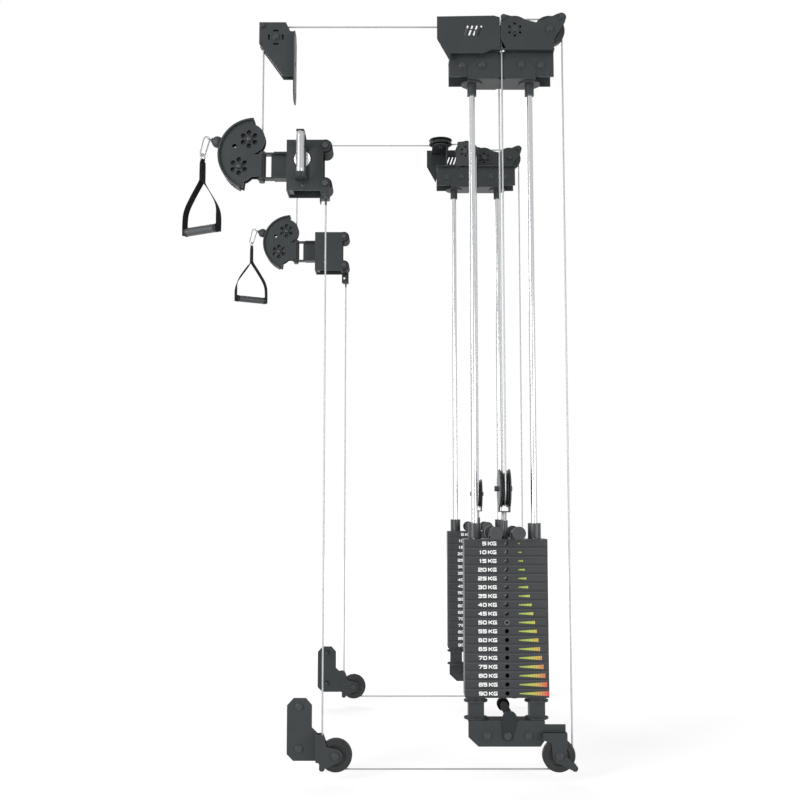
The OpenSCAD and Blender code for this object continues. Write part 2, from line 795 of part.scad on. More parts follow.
module web_piece(w = web_w) {
    translate([0, w / 2, 0]) rotate([90, 0, 0]) linear_extrude(w) children();
}

module strap() {
    loop_z = ring_z - ring_r;
    color(silver) hanging() translate([0, 0, ring_z]) rotate([0, 90, 0])
        rotate_extrude($fn = 36) translate([ring_r, 0]) circle(r = ring_wire, $fn = 16);
    color(rubber) hanging() {
        web_piece(12) difference() {
            translate([0, loop_z]) circle(r = ring_wire + 0.4 + web_t);
            translate([0, loop_z]) circle(r = ring_wire + 0.4);
        }
        web_piece() polygon([
            [-web_t, loop_z - 4.5], [web_t, loop_z - 4.5], [web_t, split_z],
            [leg_x + web_t, knee_z], [leg_x + web_t, grip_z - grip_r + 2],
            [leg_x, grip_z - grip_r + 2], [leg_x, knee_z], [0, split_z - 6],
            [-leg_x, knee_z], [-leg_x, grip_z - grip_r + 2], [-leg_x - web_t, grip_z - grip_r + 2],
            [-leg_x - web_t, knee_z], [-web_t, split_z]
        ]);
        for (x = [-leg_x, leg_x - 12]) translate([x, 0, grip_z]) rotate([0, 90, 0])
            cylinder(h = 12, r = grip_r - 3.5 - run_gap);
    }
}

module grip() {
    color(dark) hanging() translate([-grip_l / 2, 0, grip_z]) rotate([0, 90, 0])
        difference() {
            cylinder(h = grip_l, r = grip_r);
            translate([0, 0, -1]) cylinder(h = grip_l + 2, r = grip_r - 3.5);
        }
}

// Foot frame: an angle on the rack's base beam with two posts for the guide rods
module foot_frame() {
    y_face = stack_y + beam_w / 2 + seat_gap;
    x0 = stack_x - 114;
    slab(y_face, plate_t) difference() {
        polygon([
            [x0, foot_top + plate_t], [stack_x + 109, foot_top + plate_t],
            [stack_x + 109, foot_top - 6], [stack_x + 169, foot_top - 6],
            [stack_x + 169, low_axle_z + 60], [stack_x + 109, low_axle_z + 60],
            [stack_x + 109, foot_beam_z - 12], [stack_x + 96, foot_beam_z - 31],
            [x0 + 29, foot_beam_z - 31],
            [x0, foot_beam_z - 4]
        ]);
        for (x = [-60, 0, 60]) round_hole(stack_x + x, foot_beam_z, beam_hole_r);
    }
    translate([x0, -y_face, foot_top]) cube([223, y_face - stack_y + 30, plate_t]);
    for (x = rod_xs) translate([x, -stack_y, foot_top + plate_t]) difference() {
        union() {
            translate([-23, -23, 0]) cube([46, 46, stack_z - foot_top - plate_t - 8]);
            cylinder(h = 5, r = 35);
            translate([0, 0, stack_z - foot_top - plate_t - 17]) cylinder(h = 5, r = 35);
            translate([0, 0, stack_z - foot_top - plate_t - 13])
                cylinder(h = 13 - seat_gap, r = 29);
        }
        translate([0, 0, seat_gap]) cylinder(h = 120, r = rod_r + hole_gap);
    }
    rear_low_bracket(y_face);
    front_low_bracket();
}

// Cheeks of the lower rear pulley, stepped outwards from the foot's face
module rear_low_outline() {
    difference() {
        union() {
            polygon([
                [rear_axle_x - 46, low_axle_z + 60], [rear_axle_x + 24, low_axle_z + 60],
                [rear_axle_x + 24, low_axle_z + 38], [rear_axle_x + 19, low_axle_z],
                [rear_axle_x + 52, low_axle_z - 30], [rear_axle_x + 40, low_axle_z - 42],
                [rear_axle_x - 10, low_axle_z - 18], [rear_axle_x - 19, low_axle_z + 4],
                [rear_axle_x - 22, low_axle_z + 36], [rear_axle_x - 46, low_axle_z + 44]
            ]);
            translate([rear_axle_x, low_axle_z]) circle(r = 19.5);
            translate([rear_axle_x + 44.5, low_axle_z - 35]) circle(r = 9);
        }
        round_hole(rear_axle_x, low_axle_z, axle_r + hole_gap);
        round_hole(rear_axle_x + 44.5, low_axle_z - 35, 3 + hole_gap);
    }
}

module rear_low_bracket(y_face) {
    slab(outer_y + cheek_in, plate_t) rear_low_outline();
    slab(outer_y - cheek_out, plate_t) rear_low_outline();
    translate([rear_axle_x - 46, -outer_y - cheek_out, low_axle_z + 60])
        cube([70, cheek_out * 2, plate_t]);
}

// Lower front bracket: a plate on the upright's side, stepped out to the pulley's cheeks
module front_low_outline() {
    difference() {
        union() {
            polygon([
                [front_axle_x - 58, low_axle_z + 59], [front_axle_x - 38, low_axle_z + 60],
                [front_axle_x - 30, low_axle_z + 40], [front_axle_x - 26.5, low_axle_z + 26],
                [front_axle_x + 2, low_axle_z + 19.4], [front_axle_x + 8, low_axle_z - 17.8],
                [front_axle_x - 26, low_axle_z - 34.5], [front_axle_x - 51, low_axle_z - 20],
                [front_axle_x - 58, low_axle_z - 18]
            ]);
            translate([front_axle_x, low_axle_z]) circle(r = 19.5);
            translate([front_axle_x - 39, low_axle_z - 35]) circle(r = 8.5);
            translate([front_axle_x - 47, low_axle_z - 35]) square([20, 16]);
        }
        round_hole(front_axle_x, low_axle_z, axle_r + hole_gap);
        round_hole(front_axle_x - 39, low_axle_z - 35, 3 + hole_gap);
    }
}

module front_low_bracket() {
    y_face = front_y + beam_w / 2 + seat_gap;
    x = front_axle_x;
    z = low_axle_z;
    slab(y_face, plate_t) difference() {
        polygon([
            [x - 144, z + 138], [x - 125, z + 159], [x - 89, z + 159], [x - 71, z + 139],
            [x - 71, z + 75], [x - 54, z + 59], [x - 54, z - 20], [x - 125, z - 20],
            [x - 144, z - 1]
        ]);
        for (dz = [135.5, 15.5]) round_hole(x - 108.5, z + dz, beam_hole_r);
    }
    translate([x - 58, -outer_y - cheek_out, z - 18])
        cube([plate_t, outer_y + cheek_out - y_face, 77]);
    slab(outer_y + cheek_in, plate_t) front_low_outline();
    slab(outer_y - cheek_out, plate_t) front_low_outline();
}

module foot_frames() {
    color(steel) both_sides() foot_frame();
}

// Band peg: a rounded lever on the middle foot bolt, with a long peg behind it
module band_peg() {
    y0 = stack_y + beam_w / 2 + plate_t + 2 * seat_gap;
    peg_z = foot_top + plate_t + 13;
    peg_x = stack_x + 6;
    color(steel) slab(y0, plate_t) difference() {
        hull() {
            translate([peg_x, peg_z - 6]) circle(r = 22, $fn = 32);
            translate([stack_x, foot_beam_z]) circle(r = 15, $fn = 32);
        }
        round_hole(stack_x, foot_beam_z, bolt_r + hole_gap);
    }
    color(steel) bar_y(peg_x, peg_z, stack_y - 178, y0, 12);
    color(rubber) bar_y(peg_x, peg_z, stack_y - 178, stack_y - 150, 19);
}

module band_pegs() {
    both_sides() band_peg();
}

// Bolts and axles that stay on the rack
module fixed_bolt_set() {
    z = top_axle_z;
    // Top front bracket
    bolt_y(top_axle_x, z, front_y - cheek_out, front_y + cheek_out, axle_r);
    bolt_y(hinge_x - 3, z + 36, front_y - cheek_out, front_y + cheek_out, 4, 7);
    bar_y(hinge_x - 7.5, z - 19, front_y - cheek_out - 2, front_y + cheek_out + 2, 2.5);
    // Header axles and keeper pins
    for (x = [mid_axle_x, rear_axle_x])
        bolt_y(x, z, outer_y - cheek_out, outer_y + cheek_out, axle_r);
    bolt_y(stack_x + 5, z + 39.5, outer_y - cheek_out, outer_y + cheek_out, 4, 7);
    bolt_y(rear_axle_x + 37, z + 39.5, outer_y - cheek_out, outer_y + cheek_out, 4, 7);
    translate([flat_x, -flat_y, top_rope_z - pulley_w / 2 - side_gap - plate_t - 8]) {
        cylinder(h = pulley_w + side_gap + plate_t + 12, r = axle_r);
        cylinder(h = 8 - seat_gap, r = bolt_head, $fn = 6);
    }
    translate([flat_x, -flat_y, top_rope_z + pulley_w / 2 + 1])
        cylinder(h = 5, r = bolt_head, $fn = 6);
    translate([stack_x, -inner_y, 0]) rotate([0, 0, yaw])
        translate([-rope_r, 0, z]) rotate([90, 0, 0]) {
            translate([0, 0, -cheek_out - 2]) cylinder(h = 2 * cheek_out + 4, r = axle_r);
            translate([0, 0, cheek_out + seat_gap]) cylinder(h = 7, r = bolt_head, $fn = 6);
            translate([0, 0, -cheek_out - 7 - seat_gap])
                cylinder(h = 7, r = bolt_head, $fn = 6);
        }
    header_bolts();
    foot_bolts();
}

module header_bolts() {
    z = header_beam_z;
    wall = channel_in + plate_t;
    for (s = [0, 1]) translate([0, -stack_y, 0]) rotate([0, 0, s * 180]) {
        for (x = [192, 434]) beam_bolt(s ? -x : x, z, wall);
        for (x = [252, 373]) beam_bolt(s ? -x : x, z, wall + seat_gap + plate_t);
    }
}

// A bolt from outside into the beam, with a short shank past the plate
module beam_bolt(x, z, y) {
    bar_y(x, z, channel_in - 12, y + 1, bolt_r);
    bar_y(x, z, y + seat_gap, y + 2.3, bolt_head + 2.5);
    bar_y(x, z, y + 2, y + 9, bolt_head, 6);
}

module foot_bolts() {
    y = stack_y + beam_w / 2 + plate_t + seat_gap;
    for (x = [-60, 0, 60]) {
        more = x == 0 ? plate_t + seat_gap : 0;
        bar_y(stack_x + x, foot_beam_z, stack_y + beam_w / 2 - 14, y + more + 1, bolt_r);
        bar_y(stack_x + x, foot_beam_z, y + more + seat_gap, y + more + 2.3,
            bolt_head + 2);
        bar_y(stack_x + x, foot_beam_z, y + more + 2, y + more + 8, bolt_head, 6);
    }
    yf = front_y + beam_w / 2 + plate_t + seat_gap;
    for (dz = [135.5, 15.5]) {
        bar_y(front_axle_x - 108.5, low_axle_z + dz, yf - 22, yf + 1, bolt_r);
        bar_y(front_axle_x - 108.5, low_axle_z + dz, yf + seat_gap, yf + 2.3,
            bolt_head + 2);
        bar_y(front_axle_x - 108.5, low_axle_z + dz, yf + 2, yf + 9, bolt_head, 6);
    }
    for (x = [rear_axle_x, front_axle_x])
        bolt_y(x, low_axle_z, outer_y - cheek_out, outer_y + cheek_out, axle_r);
    for (x = [rear_axle_x + 44.5, front_axle_x - 39])
        bar_y(x, low_axle_z - 35, outer_y - cheek_out - 2, outer_y + cheek_out + 2, 3);
}

module fixed_bolts() {
    color(silver) both_sides() fixed_bolt_set();
}

// Cable that stays where it is: over the top, down the back and along the bottom
module rope_fixed() {
    rope_turn(top_axle_x, front_y, top_axle_z, rope_r, 90, 90);
    rope_x(top_axle_x, flat_x, front_y, top_rope_z);
    translate([flat_x, -flat_y, top_rope_z]) rotate([0, 0, -90])
        rotate_extrude(angle = yaw, $fn = 72)
            translate([rope_r, 0]) circle(d = rope_d, $fn = 20);
    translate([stack_x, -inner_y, top_axle_z]) rotate([0, 0, yaw]) {
        translate([-rope_r - slant_l, 0, rope_r]) rotate([0, 90, 0])
            cylinder(h = slant_l, d = rope_d, $fn = 20);
        translate([-rope_r, 0, 0]) rotate([90, 0, 0]) rotate_extrude(angle = 90, $fn = 72)
            translate([rope_r, 0]) circle(d = rope_d, $fn = 20);
    }
    rope_turn(mid_axle_x, outer_y, top_axle_z, rope_r, 90, 90);
    rope_x(mid_axle_x, rear_axle_x, outer_y, top_rope_z);
    rope_turn(rear_axle_x, outer_y, top_axle_z, rope_r, 0, 90);
    rope_z(rear_rope_x, outer_y, low_axle_z, top_axle_z);
    rope_turn(rear_axle_x, outer_y, low_axle_z, rope_r, -90, 90);
    rope_x(front_axle_x, rear_axle_x, outer_y, bottom_rope_z);
    rope_turn(front_axle_x, outer_y, low_axle_z, rope_r, 180, 90);
}

module ropes_fixed() {
    color(rope_colour) both_sides() rope_fixed();
}

// Cable stretches whose length changes as the carriage or the stack moves
module ropes_stretching() {
    color(rope_colour) both_sides() {
        rope_z(hinge_x, front_y, upper_z, top_axle_z);
        rope_z(front_rope_x, outer_y, low_axle_z, anchor_z - 15);
        rope_z(stack_x, inner_y, float_z, top_axle_z);
        rope_z(stack_x, outer_y, float_z, top_axle_z);
    }
}

carriage();  // right_carriage
carriage_fittings();  // right_carriage_fittings
roller(roller_zs[0]);  // right_roller_upper
roller(roller_zs[1]);  // right_roller_lower
release_handle();  // right_release_handle
swivel_head();  // right_swivel_head
swivel_pulley(upper_x, upper_z);  // right_swivel_pulley_upper
swivel_pulley(lower_x, lower_z);  // right_swivel_pulley_lower
ball_stop();  // right_ball_stop
carabiner();  // right_carabiner
strap();  // right_strap
grip();  // right_grip
frame_pulley(top_axle_x, front_y, top_axle_z);  // right_top_pulley
flat_pulley();  // right_header_pulley_flat
yawed_pulley();  // right_header_pulley_yawed
frame_pulley(mid_axle_x, outer_y, top_axle_z);  // right_header_pulley_mid
frame_pulley(rear_axle_x, outer_y, top_axle_z);  // right_header_pulley_rear
frame_pulley(rear_axle_x, outer_y, low_axle_z);  // right_foot_pulley_rear
frame_pulley(front_axle_x, outer_y, low_axle_z);  // right_foot_pulley_front
stack_lifted();  // right_stack_lifted
lift_head();  // right_lift_head
float_sheave();  // right_float_sheave
selector_pin();  // right_selector_pin
rope_on_swivel();  // right_rope_on_swivel
rope_on_float();  // right_rope_on_float
other_side() carriage();  // left_carriage
other_side() carriage_fittings();  // left_carriage_fittings
other_side() roller(roller_zs[0]);  // left_roller_upper
other_side() roller(roller_zs[1]);  // left_roller_lower
other_side() release_handle();  // left_release_handle
other_side() swivel_head();  // left_swivel_head
other_side() swivel_pulley(upper_x, upper_z);  // left_swivel_pulley_upper
other_side() swivel_pulley(lower_x, lower_z);  // left_swivel_pulley_lower
other_side() ball_stop();  // left_ball_stop
other_side() carabiner();  // left_carabiner
other_side() strap();  // left_strap
other_side() grip();  // left_grip
other_side() frame_pulley(top_axle_x, front_y, top_axle_z);  // left_top_pulley
other_side() flat_pulley();  // left_header_pulley_flat
other_side() yawed_pulley();  // left_header_pulley_yawed
other_side() frame_pulley(mid_axle_x, outer_y, top_axle_z);  // left_header_pulley_mid
other_side() frame_pulley(rear_axle_x, outer_y, top_axle_z);  // left_header_pulley_rear
other_side() frame_pulley(rear_axle_x, outer_y, low_axle_z);  // left_foot_pulley_rear
other_side() frame_pulley(front_axle_x, outer_y, low_axle_z);  // left_foot_pulley_front
other_side() stack_lifted();  // left_stack_lifted
other_side() lift_head();  // left_lift_head
other_side() float_sheave();  // left_float_sheave
translate([0, 2 * stack_y, 0]) selector_pin();  // left_selector_pin
other_side() rope_on_swivel();  // left_rope_on_swivel
other_side() rope_on_float();  // left_rope_on_float
top_brackets();
header_housings();
header_frames();
guide_rods();
resting_plates();
foot_frames();
band_pegs();
fixed_bolts();
ropes_fixed();
ropes_stretching();
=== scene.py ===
"""A mirrored pair of cable columns for a strength rack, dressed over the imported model.

Metres throughout. +X runs from the handles to the plate stacks, +Y to the far column, +Z up."""

import math

import bmesh
import bpy
from mathutils import Matrix, Vector


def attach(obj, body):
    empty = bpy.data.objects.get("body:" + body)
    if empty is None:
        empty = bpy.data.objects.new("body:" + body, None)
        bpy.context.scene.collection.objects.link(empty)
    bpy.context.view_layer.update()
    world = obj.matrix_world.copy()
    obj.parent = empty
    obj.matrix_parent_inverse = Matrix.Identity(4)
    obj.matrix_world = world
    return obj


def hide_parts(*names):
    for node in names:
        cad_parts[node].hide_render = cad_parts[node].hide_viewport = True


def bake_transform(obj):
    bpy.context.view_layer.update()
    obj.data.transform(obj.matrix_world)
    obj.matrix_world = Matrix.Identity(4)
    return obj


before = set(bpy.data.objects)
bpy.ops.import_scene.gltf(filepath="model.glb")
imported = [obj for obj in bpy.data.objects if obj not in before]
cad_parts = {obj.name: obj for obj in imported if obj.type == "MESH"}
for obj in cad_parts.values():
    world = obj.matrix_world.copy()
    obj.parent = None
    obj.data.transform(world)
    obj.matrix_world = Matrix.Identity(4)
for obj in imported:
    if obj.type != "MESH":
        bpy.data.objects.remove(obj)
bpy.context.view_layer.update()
SIDES = {"right": -1, "left": 1}

# The viewpoint of the photograph: a 50 mm lens 3.93 m in front of the middle of
# the pair, a little lower than the middle of its height and tilted up.
viewpoint = bpy.data.objects.new("viewpoint", bpy.data.cameras.new("viewpoint"))
viewpoint.data.lens = 50
viewpoint.data.sensor_width = 36
viewpoint.location = (0, -3.93, 0.757)
viewpoint.rotation_euler = (math.radians(95.59), 0, 0)
viewpoint.data.clip_end = 60
bpy.context.scene.collection.objects.link(viewpoint)
bpy.context.scene.camera = viewpoint


# The black powder coat on every folded and welded steel part: a fine orange
# peel over a charcoal colour, thinner and a touch lighter along the edges, where the
# lighter colour is partly wear and partly a painted highlight. Faces that look up
# are painted near black, a painted shade.
class Wire:
    """A node's output. Python's operators on it add Math nodes."""

    def __init__(self, tree, out=None):
        self.tree, self.out = tree, out

    def node(self, kind, settings=None, inputs=None, output=0):
        made = self.tree.nodes.new("ShaderNode" + kind)
        for name, value in (settings or {}).items():
            if name != "stops":
                setattr(made, name, value)
                continue
            ramp = made.color_ramp.elements
            while len(ramp) < len(value):
                ramp.new(1.0)
            for stop, (place, colour) in zip(ramp, value):
                stop.position, stop.color = place, (*colour, 1)
        for name, value in (inputs or {}).items():
            if isinstance(value, Wire):
                self.tree.links.new(value.out, made.inputs[name])
            else:
                made.inputs[name].default_value = value
        return Wire(self.tree, made.outputs[output] if made.outputs else None)

    def maths(self, operation, a, b=0.0):
        return self.node("Math", {"operation": operation}, {0: a, 1: b})

    def __add__(self, other):
        return self.maths("ADD", self, other)

    def __sub__(self, other):
        return self.maths("SUBTRACT", self, other)

    def __rsub__(self, other):
        return self.maths("SUBTRACT", other, self)

    def __mul__(self, other):
        return self.maths("MULTIPLY", self, other)

    def __lt__(self, other):
        return self.maths("LESS_THAN", self, other)

    def __gt__(self, other):
        return self.maths("GREATER_THAN", self, other)

    __radd__, __rmul__ = __add__, __mul__

    def clamp(self):
        return self.node("Clamp", None, {"Value": self})

    def sine(self):
        return self.maths("SINE", self)

    def length_to(self, x, y, z, along=(1, 1, 1)):
        """Distance from a point, with some axes left out by a 0 in along."""
        apart = self.node("VectorMath", {"operation": "SUBTRACT"}, {0: self, 1: (x, y, z)})
        kept = self.node("VectorMath", {"operation": "MULTIPLY"}, {0: apart, 1: along})
        return self.node("VectorMath", {"operation": "LENGTH"}, {0: kept}, "Value")

    def axes(self):
        return [self.node("SeparateXYZ", None, {0: self}, k) for k in range(3)]

    def noise(self, place, scale, detail=2.0, rough=0.5):
        return self.node("TexNoise", None, {"Vector": place, "Scale": scale,
                         "Detail": detail, "Roughness": rough}, 0)

    def blend(self, factor, first, second):
        """Two colours mixed by a mask."""
        return self.node("Mix", {"data_type": "RGBA"}, {0: factor, 6: first, 7: second}, 2)


def start(name):
    made = bpy.data.materials.new(name)
    made.use_nodes = True
    made.node_tree.nodes.clear()
    wire = Wire(made.node_tree)
    return made, wire, wire.node("TexCoord", output="Object")


def surface(wire, colour, rough, metal=0.0, height=None, depth=0.0002, edge=0.0012, **fixed):
    """A Principled surface with rounded edges and a height that bumps it."""
    normal = wire.node("Bevel", {"samples": 4}, {"Radius": edge})
    if height is not None:
        normal = wire.node("Bump", None, {"Height": height, "Distance": depth,
                           "Strength": 1.0, "Normal": normal})
    inputs = {"Base Color": colour, "Roughness": rough, "Metallic": metal, "Normal": normal}
    inputs.update({name.replace("_", " "): value for name, value in fixed.items()})
    shader = wire.node("BsdfPrincipled", None, inputs)
    wire.node("OutputMaterial", None, {"Surface": shader})


def edge_mask(wire, radius):
    """1 along an edge, 0 on the flat."""
    rounded = wire.node("Bevel", {"samples": 4}, {"Radius": radius})
    flat = wire.node("NewGeometry", output="Normal")
    same = wire.node("VectorMath", {"operation": "DOT_PRODUCT"}, {0: rounded, 1: flat}, "Value")
    return ((1 - same) * 5).clamp()


def dress(coat, *nodes):
    for name in nodes:
        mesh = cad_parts[name].data
        mesh.materials.clear()
        mesh.materials.append(coat)


COAT_DARK, COAT_LIGHT = (0.022, 0.0265, 0.0285, 1), (0.033, 0.0385, 0.041, 1)


def powder_coat(name, rough):
    coat, wire, place = start(name)
    grain = wire.noise(place, 900, 3)
    cloud = wire.noise(place, 14, 4)
    # Edges are painted lighter: partly wear of the thinner coat, partly a painted highlight.
    wear_and_edge_highlight = edge_mask(wire, 0.0022)
    # Faces that look up are painted near black and made rougher: a painted shade.
    painted_dark_top = wire.node("NewGeometry", output="Normal").axes()[2] > 0.7
    body = wire.blend(cloud, COAT_DARK, COAT_LIGHT)
    body_with_painted_dark_top = wire.blend(painted_dark_top * 0.8, body, (0.004, 0.0045, 0.005, 1))
    edged = wire.blend(wear_and_edge_highlight * (0.3 + 0.5 * cloud), body_with_painted_dark_top, (0.1, 0.112, 0.117, 1))
    surface(wire, edged, rough + 0.16 * (grain - 0.5) + 0.1 * (cloud - 0.5) + 0.35 * painted_dark_top, 0.0, grain,
            0.00012, Specular_IOR_Level=0.3)
    return coat


charcoal = powder_coat("charcoal powder coat", 0.42)
both = [f"{side}_{part}" for side in SIDES for part in ("carriage", "swivel_head")]
dress(charcoal, "top_brackets", "header_housings", "header_frames", "foot_frames", *both)


# Band pegs: the tongue has the brackets' coat, the tube and its end cap are
# dipped in black vinyl.
dipped, wire, place = start("dipped peg")
grain = wire.noise(place, 700, 3)
tongue_back = 0.6195
tube = wire.maths("ABSOLUTE", place.axes()[1]) < tongue_back
tone = wire.blend(wire.noise(place, 14, 4), COAT_DARK, COAT_LIGHT)
surface(wire, wire.blend(tube, tone, (0.006, 0.0065, 0.007, 1)),
        0.42 + 0.16 * (grain - 0.5) + 0.4 * tube, 0.0, grain, 0.0001, Specular_IOR_Level=0.1)
dress(dipped, "band_pegs")


# Bolts, nuts and washers: zinc-plated steel blackened to match the brackets,
# with turned faces a little brighter than the powder coat round them, and edges
# painted lighter, partly as wear and partly as a painted highlight.
def blackened(name):
    coat, wire, place = start(name)
    grain = wire.noise(place, 160, 3)
    # Edges are painted lighter: partly wear, partly a painted highlight.
    wear_and_edge_highlight = edge_mask(wire, 0.0012)
    tone = wire.blend(grain, (0.03, 0.034, 0.037, 1), (0.05, 0.055, 0.059, 1))
    surface(wire, wire.blend(wear_and_edge_highlight * 0.5, tone, (0.16, 0.17, 0.18, 1)), 0.24 + 0.12 * grain, 0.35,
            grain, 0.00002, 0.0016)
    return coat


black_bolt = blackened("blackened bolt")
dress(black_bolt, "fixed_bolts")


# Turned nylon pulleys: black, satin, with the fine rings that the lathe leaves
# round each axle.
def turned_nylon(name, centre, along, shine=0.4, rough=0.24):
    coat, wire, place = start(name)
    out = place.length_to(*centre, along)
    rings = (out * 5200).sine()
    cloud = wire.noise(place, 60, 3)
    tone = wire.blend(cloud, (0.007, 0.0078, 0.0082, 1), (0.014, 0.0155, 0.0165, 1))
    surface(wire, tone, rough + 0.12 * cloud, 0.0, rings + 0.6 * cloud, 0.00004, 0.0012,
            Specular_IOR_Level=shine)
    return coat


# The carriage and its head lie in the front plane, the stack's centre a little
# further out, and the header's and the foot's pulleys in the outer plane.
FRONT_Y, STACK_Y, OUTER_Y = 0.572, 0.578, 0.628
STACK_X, HEADER_Z, FOOT_Z, FLOAT_Z = 0.313, 2.222, 0.0475, 0.817
UPPER_SWIVEL, LOWER_SWIVEL = (-0.4665, 1.895), (-0.497, 1.809)
for side, sign in SIDES.items():
    for part, x, y, z in (
        ("swivel_pulley_upper", UPPER_SWIVEL[0], FRONT_Y, UPPER_SWIVEL[1]),
        ("swivel_pulley_lower", LOWER_SWIVEL[0], FRONT_Y, LOWER_SWIVEL[1]),
        ("top_pulley", -0.3875, FRONT_Y, HEADER_Z), ("header_pulley_mid", 0.3525, OUTER_Y, HEADER_Z),
        ("header_pulley_rear", 0.4595, OUTER_Y, HEADER_Z),
        ("foot_pulley_rear", 0.4595, OUTER_Y, FOOT_Z), ("foot_pulley_front", -0.186, OUTER_Y, FOOT_Z),
    ):
        node = f"{side}_{part}"
        dress(turned_nylon(node + " nylon", (x, sign * y, z), (1, 0, 1)), node)
    flat = f"{side}_header_pulley_flat"
    dress(turned_nylon(flat + " nylon", (0.167, sign * 0.5325, 2.2615), (1, 1, 0)), flat)
    yawed = f"{side}_header_pulley_yawed"
    dress(turned_nylon(yawed + " nylon", (0.2753, sign * 0.54, HEADER_Z), (1, 0, 1)), yawed)
    sheave = f"{side}_float_sheave"
    dress(turned_nylon(sheave + " nylon", (STACK_X, sign * STACK_Y, FLOAT_Z), (0, 1, 1)), sheave)
    for part, z in (("roller_upper", 1.865), ("roller_lower", 1.746)):
        node = f"{side}_{part}"
        dress(turned_nylon(node + " nylon", (-0.2295, sign * FRONT_Y, z), (1, 0, 1), 0.15, 0.5), node)


# The steel cable: 5 mm, laid up from fine wires that wind round it at a slant
# and drawn through a clear coat.
cable, wire, place = start("stranded cable")
x, y, z = place.axes()
strands = ((x + y) * 2600 + z * 1500 + x * 900).sine()
tone = wire.blend((strands * 0.5 + 0.5).clamp(), (0.32, 0.33, 0.34, 1), (0.44, 0.45, 0.46, 1))
surface(wire, tone, 0.42, 0.6, strands, 0.00004, 0.0003)
dress(cable, "ropes_fixed", *[f"{side}_rope_on_float" for side in SIDES])


# Guide rods: ground round bar, hard chromed, with faint grinding marks round it.
chrome, wire, place = start("ground chrome rod")
x, y, z = place.axes()
grinding = wire.noise(wire.node("CombineXYZ", None, {0: x * 4, 1: y * 4, 2: z * 300}), 9, 3)
surface(wire, wire.blend(grinding, (0.47, 0.48, 0.49, 1), (0.61, 0.62, 0.63, 1)),
        0.12 + 0.12 * grinding, 1.0, grinding, 0.00002, 0.0004)
dress(chrome, "guide_rods")


# Carriage fittings: black axle heads and liners, and on the outer side of each
# carriage the turned silver housing that the spring pin runs in.
for side, sign in SIDES.items():
    coat, wire, place = start(f"{side} carriage fittings")
    from_pin = place.length_to(-0.299, 0, 1.822, (1, 0, 1))
    x, y, z = place.axes()
    disc = (from_pin < 0.0258) * (sign * y > 0.6)
    rings = (from_pin * 9000).sine()
    grain = wire.noise(place, 400, 3)
    tone = wire.blend(grain, (0.04, 0.045, 0.048, 1), (0.065, 0.07, 0.074, 1))
    surface(wire, wire.blend(disc, tone, (0.66, 0.67, 0.68, 1)), 0.38 - 0.08 * disc, 0.4 + 0.5 * disc,
            rings * disc + grain * 0.3, 0.00006, 0.001)
    dress(coat, f"{side}_carriage_fittings")


# Release handle: a satin silver tube on a black yoke, screwed at its foot. The
# far end of the yoke holds the spring pin, so pulling the tube draws the pin.
def add_piece(name, mesh, coat, body, slot, *nodes):
    piece = bpy.data.objects.new(name, mesh)
    bpy.context.scene.collection.objects.link(piece)
    mesh.materials.append(coat)
    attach(piece, body)
    if nodes:
        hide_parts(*nodes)
    return piece


def finished(name, bm, smooth=35):
    mesh = bpy.data.meshes.new(name)
    bmesh.ops.recalc_face_normals(bm, faces=bm.faces)
    bm.to_mesh(mesh)
    bm.free()
    mesh.shade_smooth()
    mesh.set_sharp_from_angle(angle=math.radians(smooth))
    return mesh


def turned(bm, profile, matrix, steps=48):
    """Spins (radius, height) points about the matrix's Z axis."""
    rings = []
    for radius, height in profile:
        if radius < 1e-6:
            rings.append([bm.verts.new(matrix @ Vector((0, 0, height)))])
            continue
        rings.append([bm.verts.new(matrix @ Vector((radius * math.cos(2 * math.pi * k / steps),
                     radius * math.sin(2 * math.pi * k / steps), height))) for k in range(steps)])
    for low, high in zip(rings, rings[1:]):
        for k in range(steps):
            corners = [low[k % len(low)], low[(k + 1) % len(low)],
                       high[(k + 1) % len(high)], high[k % len(high)]]
            bm.faces.new(list(dict.fromkeys(corners)))


def bent_arm(bm, path, thick, sign, upright=False):
    """A folded strip that follows (distance out, height, half width) points."""
    rings = []
    for out, up, half in path:
        a, b = ((thick / 2, 0) if upright else (0, thick / 2))
        rings.append([bm.verts.new((-0.299 + x, sign * (out + g * a), 1.822 + up + g * b))
                      for x, g in ((-half, -1), (half, -1), (half, 1), (-half, 1))])
    made = [bm.faces.new(rings[0]), bm.faces.new(rings[-1][::-1])]
    for low, high in zip(rings, rings[1:]):
        made += [bm.faces.new([low[k], low[(k + 1) % 4], high[(k + 1) % 4], high[k]])
                 for k in range(4)]
    rims = {edge for face in made for edge in face.edges if len(edge.link_faces) == 2
            and edge.calc_face_angle(0) > 0.7}
    bmesh.ops.bevel(bm, geom=list(rims), offset=0.0008, segments=2, affect="EDGES")


def dome(bm, radius, height, matrix):
    """A button head: a low rim, then a rounded top with a small flat."""
    top = [(radius * math.sin(t), height * (0.3 + 0.7 * math.cos(t)))
           for t in [math.radians(a) for a in (90, 75, 60, 45, 30, 18)]]
    turned(bm, [(0, 0), (radius * 0.98, 0), (radius, height * 0.04)] + top
           + [(0, top[-1][1])], matrix, 32)


satin, wire, place = start("satin anodised tube")
x, y, z = place.axes()
brushed = wire.noise(wire.node("CombineXYZ", None, {0: x * 90, 1: y * 90, 2: z * 3}), 9, 3)
surface(wire, wire.blend(brushed, (0.4, 0.41, 0.42, 1), (0.52, 0.53, 0.54, 1)),
        0.22 + 0.14 * brushed, 0.95, brushed, 0.00003, 0.0006)

